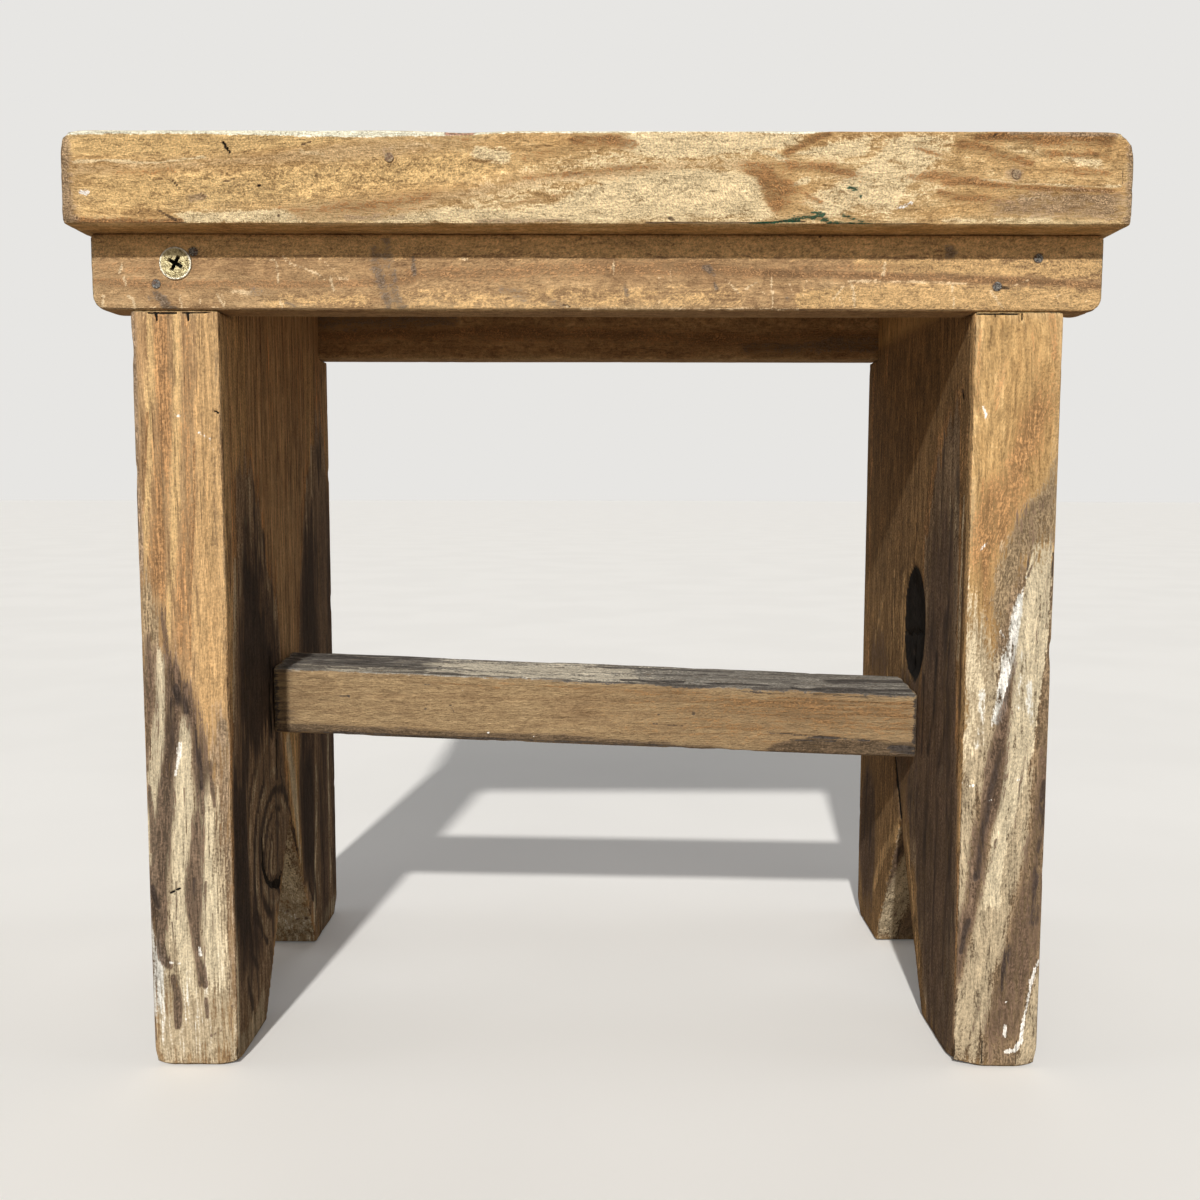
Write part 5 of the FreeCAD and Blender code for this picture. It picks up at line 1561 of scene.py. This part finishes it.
def stretcher_front(board):
    """A dull tan face, darker to the right and dirty along its lower edge. Heights are from its middle."""
    board.paint("brown", "-y", [
        ((60, 6.4, 0.3), (112, 6, 0.3), 0.9), ((56, 4.6, 0.3), (112, 4.4, 0.3), 0.9),
        ((66, 3.2, 0.3), (112, 3, 0.3), 0.8), ((60, 7.8, 0.4), (112, 7.4, 0.4), 0.9),
        ((-60, 8.8, 0.5), (-34, 7.6, 0.6), 0.7), ((-34, 9, 0.6), (40, 8, 0.6), 0.5),
        ((30, 5.6, 0.6), (60, 2.4, 0.6), 0.3), ((50, 0, 2), (112, -1, 2.6), 0.5),
    ], wobble=0.5)
    board.band("brown", "-y", [(10, -12, 12), (60, -12, 12), (113, -12, 12)], strength=0.42, soft=8)
    board.band("dirt", "-y", [
        (-113, -12, -7.6), (-80, -12, -8.2), (-40, -12, -8.6), (0, -12, -8.6), (24, -12, -9.2),
        (44, -12, -10.4),
    ], strength=0.85, soft=0.9, wobble=0.4)
    board.band("dirt", "-y", [
        (60, -12, -10), (68, -12, -7), (78, -12, -5.6), (96, -12, -5.8), (113, -12, -6),
    ], soft=0.8, wobble=0.4)
    # Painted shadow of the left leg over the left end of this face.
    board.band("dirt", "-y", [(-113, -12, 12), (-109, -12, 12), (-106, -12, 12)], strength=0.5, soft=1)
    board.band("grey", "-y", [
        (-113, 10.8, 14), (-70, 11, 14), (0, 10.8, 14), (50, 10.6, 14), (113, 10.2, 14),
    ], soft=0.8)
    board.band("dark", "-y", [
        (-20, 11, 14), (10, 10.6, 14), (30, 10.6, 14), (60, 10.4, 14), (113, 10, 14),
    ], strength=0.7, soft=1)
    board.band("brown", "-y", [(40, 1, 8), (70, 0, 8), (113, -2, 7)], strength=0.6, soft=1.4, wobble=0.4)
    board.paint("dark", "-y", [
        ((34, 0.9, 1.1), 0.85), ((22, 0.6, 0.9), 0.4), ((-60, -1, 0.9), 0.45), ((-76, -0.6, 0.4), 0.7),
        ((68, -6.8, 0.35), (84, -6.4, 0.4), 0.8), ((-113, -10.9, 0.7), (30, -10.9, 0.6), 0.6),
        # The dark strips up both ends, where the stretcher meets the legs, are painted shade.
        ((104, -8, 2), (112, -9, 2.4), 0.7), ((112.6, -6, 1.6), (112.6, 9, 1.6), 0.8),
        ((96, -5.8, 0.5), (60, -4.6, 0.4), 0.7), ((-112, -8, 1.6), (-112, 9, 1.4), 0.7),
        ((-96, 2, 0.4), (-86, 2.4, 0.4), 0.5), ((-66, 7.6, 0.4), (-58, 7.8, 0.4), 0.5),
        ((-80, 3.6, 0.9), 0.3), ((-52, 2, 0.5), (-50, -2, 0.4), 0.4), ((20, -3, 0.5), (30, -3.4, 0.4), 0.4),
        ((50, 9.6, 0.35), (66, 9.3, 0.35), 0.8), ((76, 9.9, 0.4), (96, 9.2, 0.4), 0.7),
    ], wobble=0.4)
    board.paint("white", "-y", [
        ((-38, -8.6, 0.55), 1.0), ((-47, 6, 0.3), 0.7), ((-22, -9.4, 0.3), 0.5),
    ], wobble=0.1)


def stretcher_top_and_rest(board):
    """A top weathered grey and pale, with dark splinters lost. The back and underside are plain grey."""
    board.band("grey", "+z", [(-113, -14, 14), (0, -14, 14), (113, -14, 14)], soft=0.5)
    board.band("dark", "+z", [(-113, -15, 15), (-58, -15, 15)], strength=0.55, soft=1)
    board.band("pale", "+z", [(-58, -15, 15), (-20, -15, 15), (14, -15, 15)], strength=0.55, soft=6)
    board.band("dark", "+z", [(34, -15, 15), (60, -15, 15), (113, -15, 15)], strength=0.28, soft=3)
    board.paint("pale", "+z", [
        ((-104, -8, 4), (-70, -9, 5), (-40, -9, 5), (-10, -8, 6), (12, -6, 5), 1.0),
        ((-60, 1, 5), (-20, 2, 8), (10, 4, 6), 1.0),
    ], wobble=1.6)
    board.paint("dark", "+z", [
        ((-100, 6, 3), (-82, 4, 3), 0.7), ((-58, 5, 2.4), (-52, 4, 2), 0.7), ((10, -10, 2), (30, -9, 2), 0.9),
        ((40, -10, 3), (60, -9, 3), 0.8), ((70, -11, 3), (113, -8, 3), 0.9), ((84, 2, 3), (113, 4, 4), 0.8),
        ((-108, 8, 3), (-84, 7, 3), 0.9), ((-58, -12, 2), (-30, -12.6, 1.6), 0.8),
        ((20, 0, 1.2), (40, 2, 1.2), 0.7), ((-34, -6, 0.8), (-30, -5, 0.8), 0.8),
        ((0, 8, 2), (50, 9, 2), 0.6),
    ], wobble=1.6)
    board.paint("crack_and_shade", "+z", [
        ((-20, -11, 0.4), (-6, -10, 0.5), 0.9), ((36, -8, 0.5), (64, -6, 0.5), 0.9),
        ((74, -3, 0.5), (98, -1, 0.5), 0.8), ((-70, -2, 0.5), (-48, -1, 0.4), 0.8),
        ((10, 3, 0.4), (34, 5, 0.4), 0.7),
    ], wobble=0.5)
    board.paint("grey", "+y", [((-113, 4, 8), (0, 6, 8), (113, 4, 8), 0.9)], wobble=2)
    board.paint("grey", "-z", [((-113, -8, 6), (113, -6, 6), 0.6)], wobble=2)


# ---------------------------------------------------------------- nails and screw


def nail_head(name, tones, metallic):
    """A dull steel head, dirty and a little rusted. Tones run from its dirt to its rubbed metal."""
    g = Graph(name)
    place = g.millimetres()
    grime = g.noise(place, (0.5, 0.5, 0.5), detail=3.0, roughness=0.7)
    rust = g.noise(place, (1.4, 1.4, 1.4), detail=2.0)
    shade = g.colours(grime, list(zip((0.3, 0.55, 0.85), tones)))
    shade = g.mix(g.ramp(rust, 0.5, 0.7, 0.0, 0.6), shade, colour(0.16, 0.075, 0.035))
    roughness = g.add(0.42, g.centred(grime, 0.5))
    return g.finish(shade, roughness, g.centred(grime, 0.2), metallic=metallic, specular=0.5)


def screw_plate():
    """Yellow zinc, rubbed bright at the rim and filled with dirt in the cross."""
    g = Graph("screw_plate")
    place = g.millimetres()
    centre = g.vector("SUBTRACT", place, SCREW_HEAD)
    radius = g.length(g.vector("MULTIPLY", centre, (1.0, 0.0, 1.0)))
    depth = g.node("SeparateXYZ", {0: centre}).outputs[1]
    stain = g.noise(place, (1.2, 1.2, 1.2), detail=3.0, roughness=0.65)
    fine = g.noise(place, (0.3, 0.3, 0.3), detail=2.0)
    shade = g.colours(g.add(g.centred(stain, 0.9), g.centred(fine, 0.3), 0.5), [
        (0.25, (0.15, 0.12, 0.06)), (0.5, (0.38, 0.32, 0.17)), (0.75, (0.62, 0.55, 0.33))])
    rim = g.times(g.ramp(radius, 4.1, 4.6), g.ramp(depth, 0.6, 0.2))
    shade = g.mix(g.times(rim, 0.6), shade, colour(0.74, 0.74, 0.68))
    ring = g.times(g.ramp(radius, 4.1, 3.9), g.ramp(radius, 3.6, 3.9))
    shade = g.mix(g.times(ring, 0.35), shade, colour(0.15, 0.12, 0.07))
    dirt = g.ramp(depth, -0.15, 0.5)
    inside = g.times(dirt, g.ramp(radius, 3.4, 3.0))
    shade = g.mix(inside, shade, colour(0.02, 0.017, 0.012))
    roughness = g.add(0.38, g.centred(stain, 0.35), g.times(inside, 0.4))
    return g.finish(shade, roughness, g.add(g.centred(stain, 0.1), g.centred(fine, 0.05)), metallic=0.75,
                    specular=0.5)


def fasteners():
    """Better materials for the CAD nails and screw. Those in the seat's front edge are the rustiest."""
    steel = nail_head("nail_steel", ((0.03, 0.027, 0.025), (0.17, 0.165, 0.155), (0.48, 0.47, 0.44)), 0.4)
    rusty = nail_head("rusty_nail", ((0.14, 0.09, 0.05), (0.38, 0.27, 0.155), (0.58, 0.44, 0.27)), 0.0)
    plate = screw_plate()
    for name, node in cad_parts.items():
        if "nail" in name or "screw" in name:
            finish = plate if "screw" in name else rusty if "edge" in name else steel
            for slot in node.material_slots:
                slot.material = finish


# ---------------------------------------------------------------- stage, light and camera


def lay_floor():
    """A plain pale disc. It looks pale to the camera, but throws a browner and dimmer light on the stool."""
    bpy.ops.mesh.primitive_circle_add(vertices=96, radius=FLOOR_RADIUS, fill_type="NGON")
    floor = bpy.context.object
    floor.name = "floor"
    g = Graph("floor")
    tint = g.noise(g.millimetres(), (160, 160, 160), detail=2.0)
    shade = g.colours(tint, [(0.3, (0.84, 0.835, 0.82)), (0.7, (0.86, 0.855, 0.84))])
    seen = g.node("LightPath", {}).outputs["Is Camera Ray"]
    shade = g.mix(seen, FLOOR_BOUNCE, shade)
    shader = g.node("BsdfPrincipled", {"Base Color": shade, "Roughness": 0.9, "Specular IOR Level": 0.1,
                                       "Emission Color": FLOOR_GLOW, "Emission Strength": seen})
    g.node("OutputMaterial", {"Surface": shader.outputs[0]})
    floor.data.materials.append(g.material)


def hang_lights():
    """A narrow key light, high in front, and weak wide fills from the front, the back and both sides."""
    for name, shines_from, strength, width_deg, tint in SUNS:
        light = bpy.data.lights.new(name, "SUN")
        light.energy = strength
        light.angle = radians(width_deg)
        light.color = tint
        lamp = bpy.data.objects.new(name, light)
        lamp.rotation_euler = Vector(shines_from).to_track_quat("Z", "Y").to_euler()
        bpy.context.collection.objects.link(lamp)


def set_backdrop():
    """The camera sees a pale backdrop, while a dim, warm one lights the stool from all round."""
    world = bpy.data.worlds.new("studio")
    world.use_nodes = True
    tree = world.node_tree
    tree.nodes.clear()
    fill = tree.nodes.new("ShaderNodeBackground")
    fill.inputs[0].default_value = FILL_COLOUR
    fill.inputs[1].default_value = FILL_STRENGTH
    backdrop = tree.nodes.new("ShaderNodeBackground")
    backdrop.inputs[0].default_value = BACKDROP_COLOUR
    choose = tree.nodes.new("ShaderNodeMixShader")
    path = tree.nodes.new("ShaderNodeLightPath")
    output = tree.nodes.new("ShaderNodeOutputWorld")
    tree.links.new(path.outputs["Is Camera Ray"], choose.inputs[0])
    tree.links.new(fill.outputs[0], choose.inputs[1])
    tree.links.new(backdrop.outputs[0], choose.inputs[2])
    tree.links.new(choose.outputs[0], output.inputs[0])
    bpy.context.scene.world = world


def place_camera():
    """Sets the camera where the photographer held it."""
    data = bpy.data.cameras.new("camera")
    data.sensor_width = CAMERA_SENSOR
    data.lens = CAMERA_LENS
    data.clip_start = 0.01
    data.clip_end = 100
    holder = bpy.data.objects.new("camera", data)
    left = Matrix.Rotation(radians(CAMERA_LEFT_DEG), 4, "Z")
    down = Matrix.Rotation(pi / 2 - radians(CAMERA_DOWN_DEG), 4, "X")
    roll = Matrix.Rotation(radians(CAMERA_ROLL_DEG), 4, "Z")
    holder.matrix_world = Matrix.Translation(Vector(CAMERA_PLACE) * MM) @ (left @ down @ roll)
    bpy.context.collection.objects.link(holder)
    bpy.context.scene.camera = holder


place_camera()
lay_floor()
hang_lights()
set_backdrop()
seat_board()
left_leg()
right_leg()
apron(front=True)
apron(front=False)
stretcher()
fasteners()
bpy.context.scene.view_settings.view_transform = "Standard"
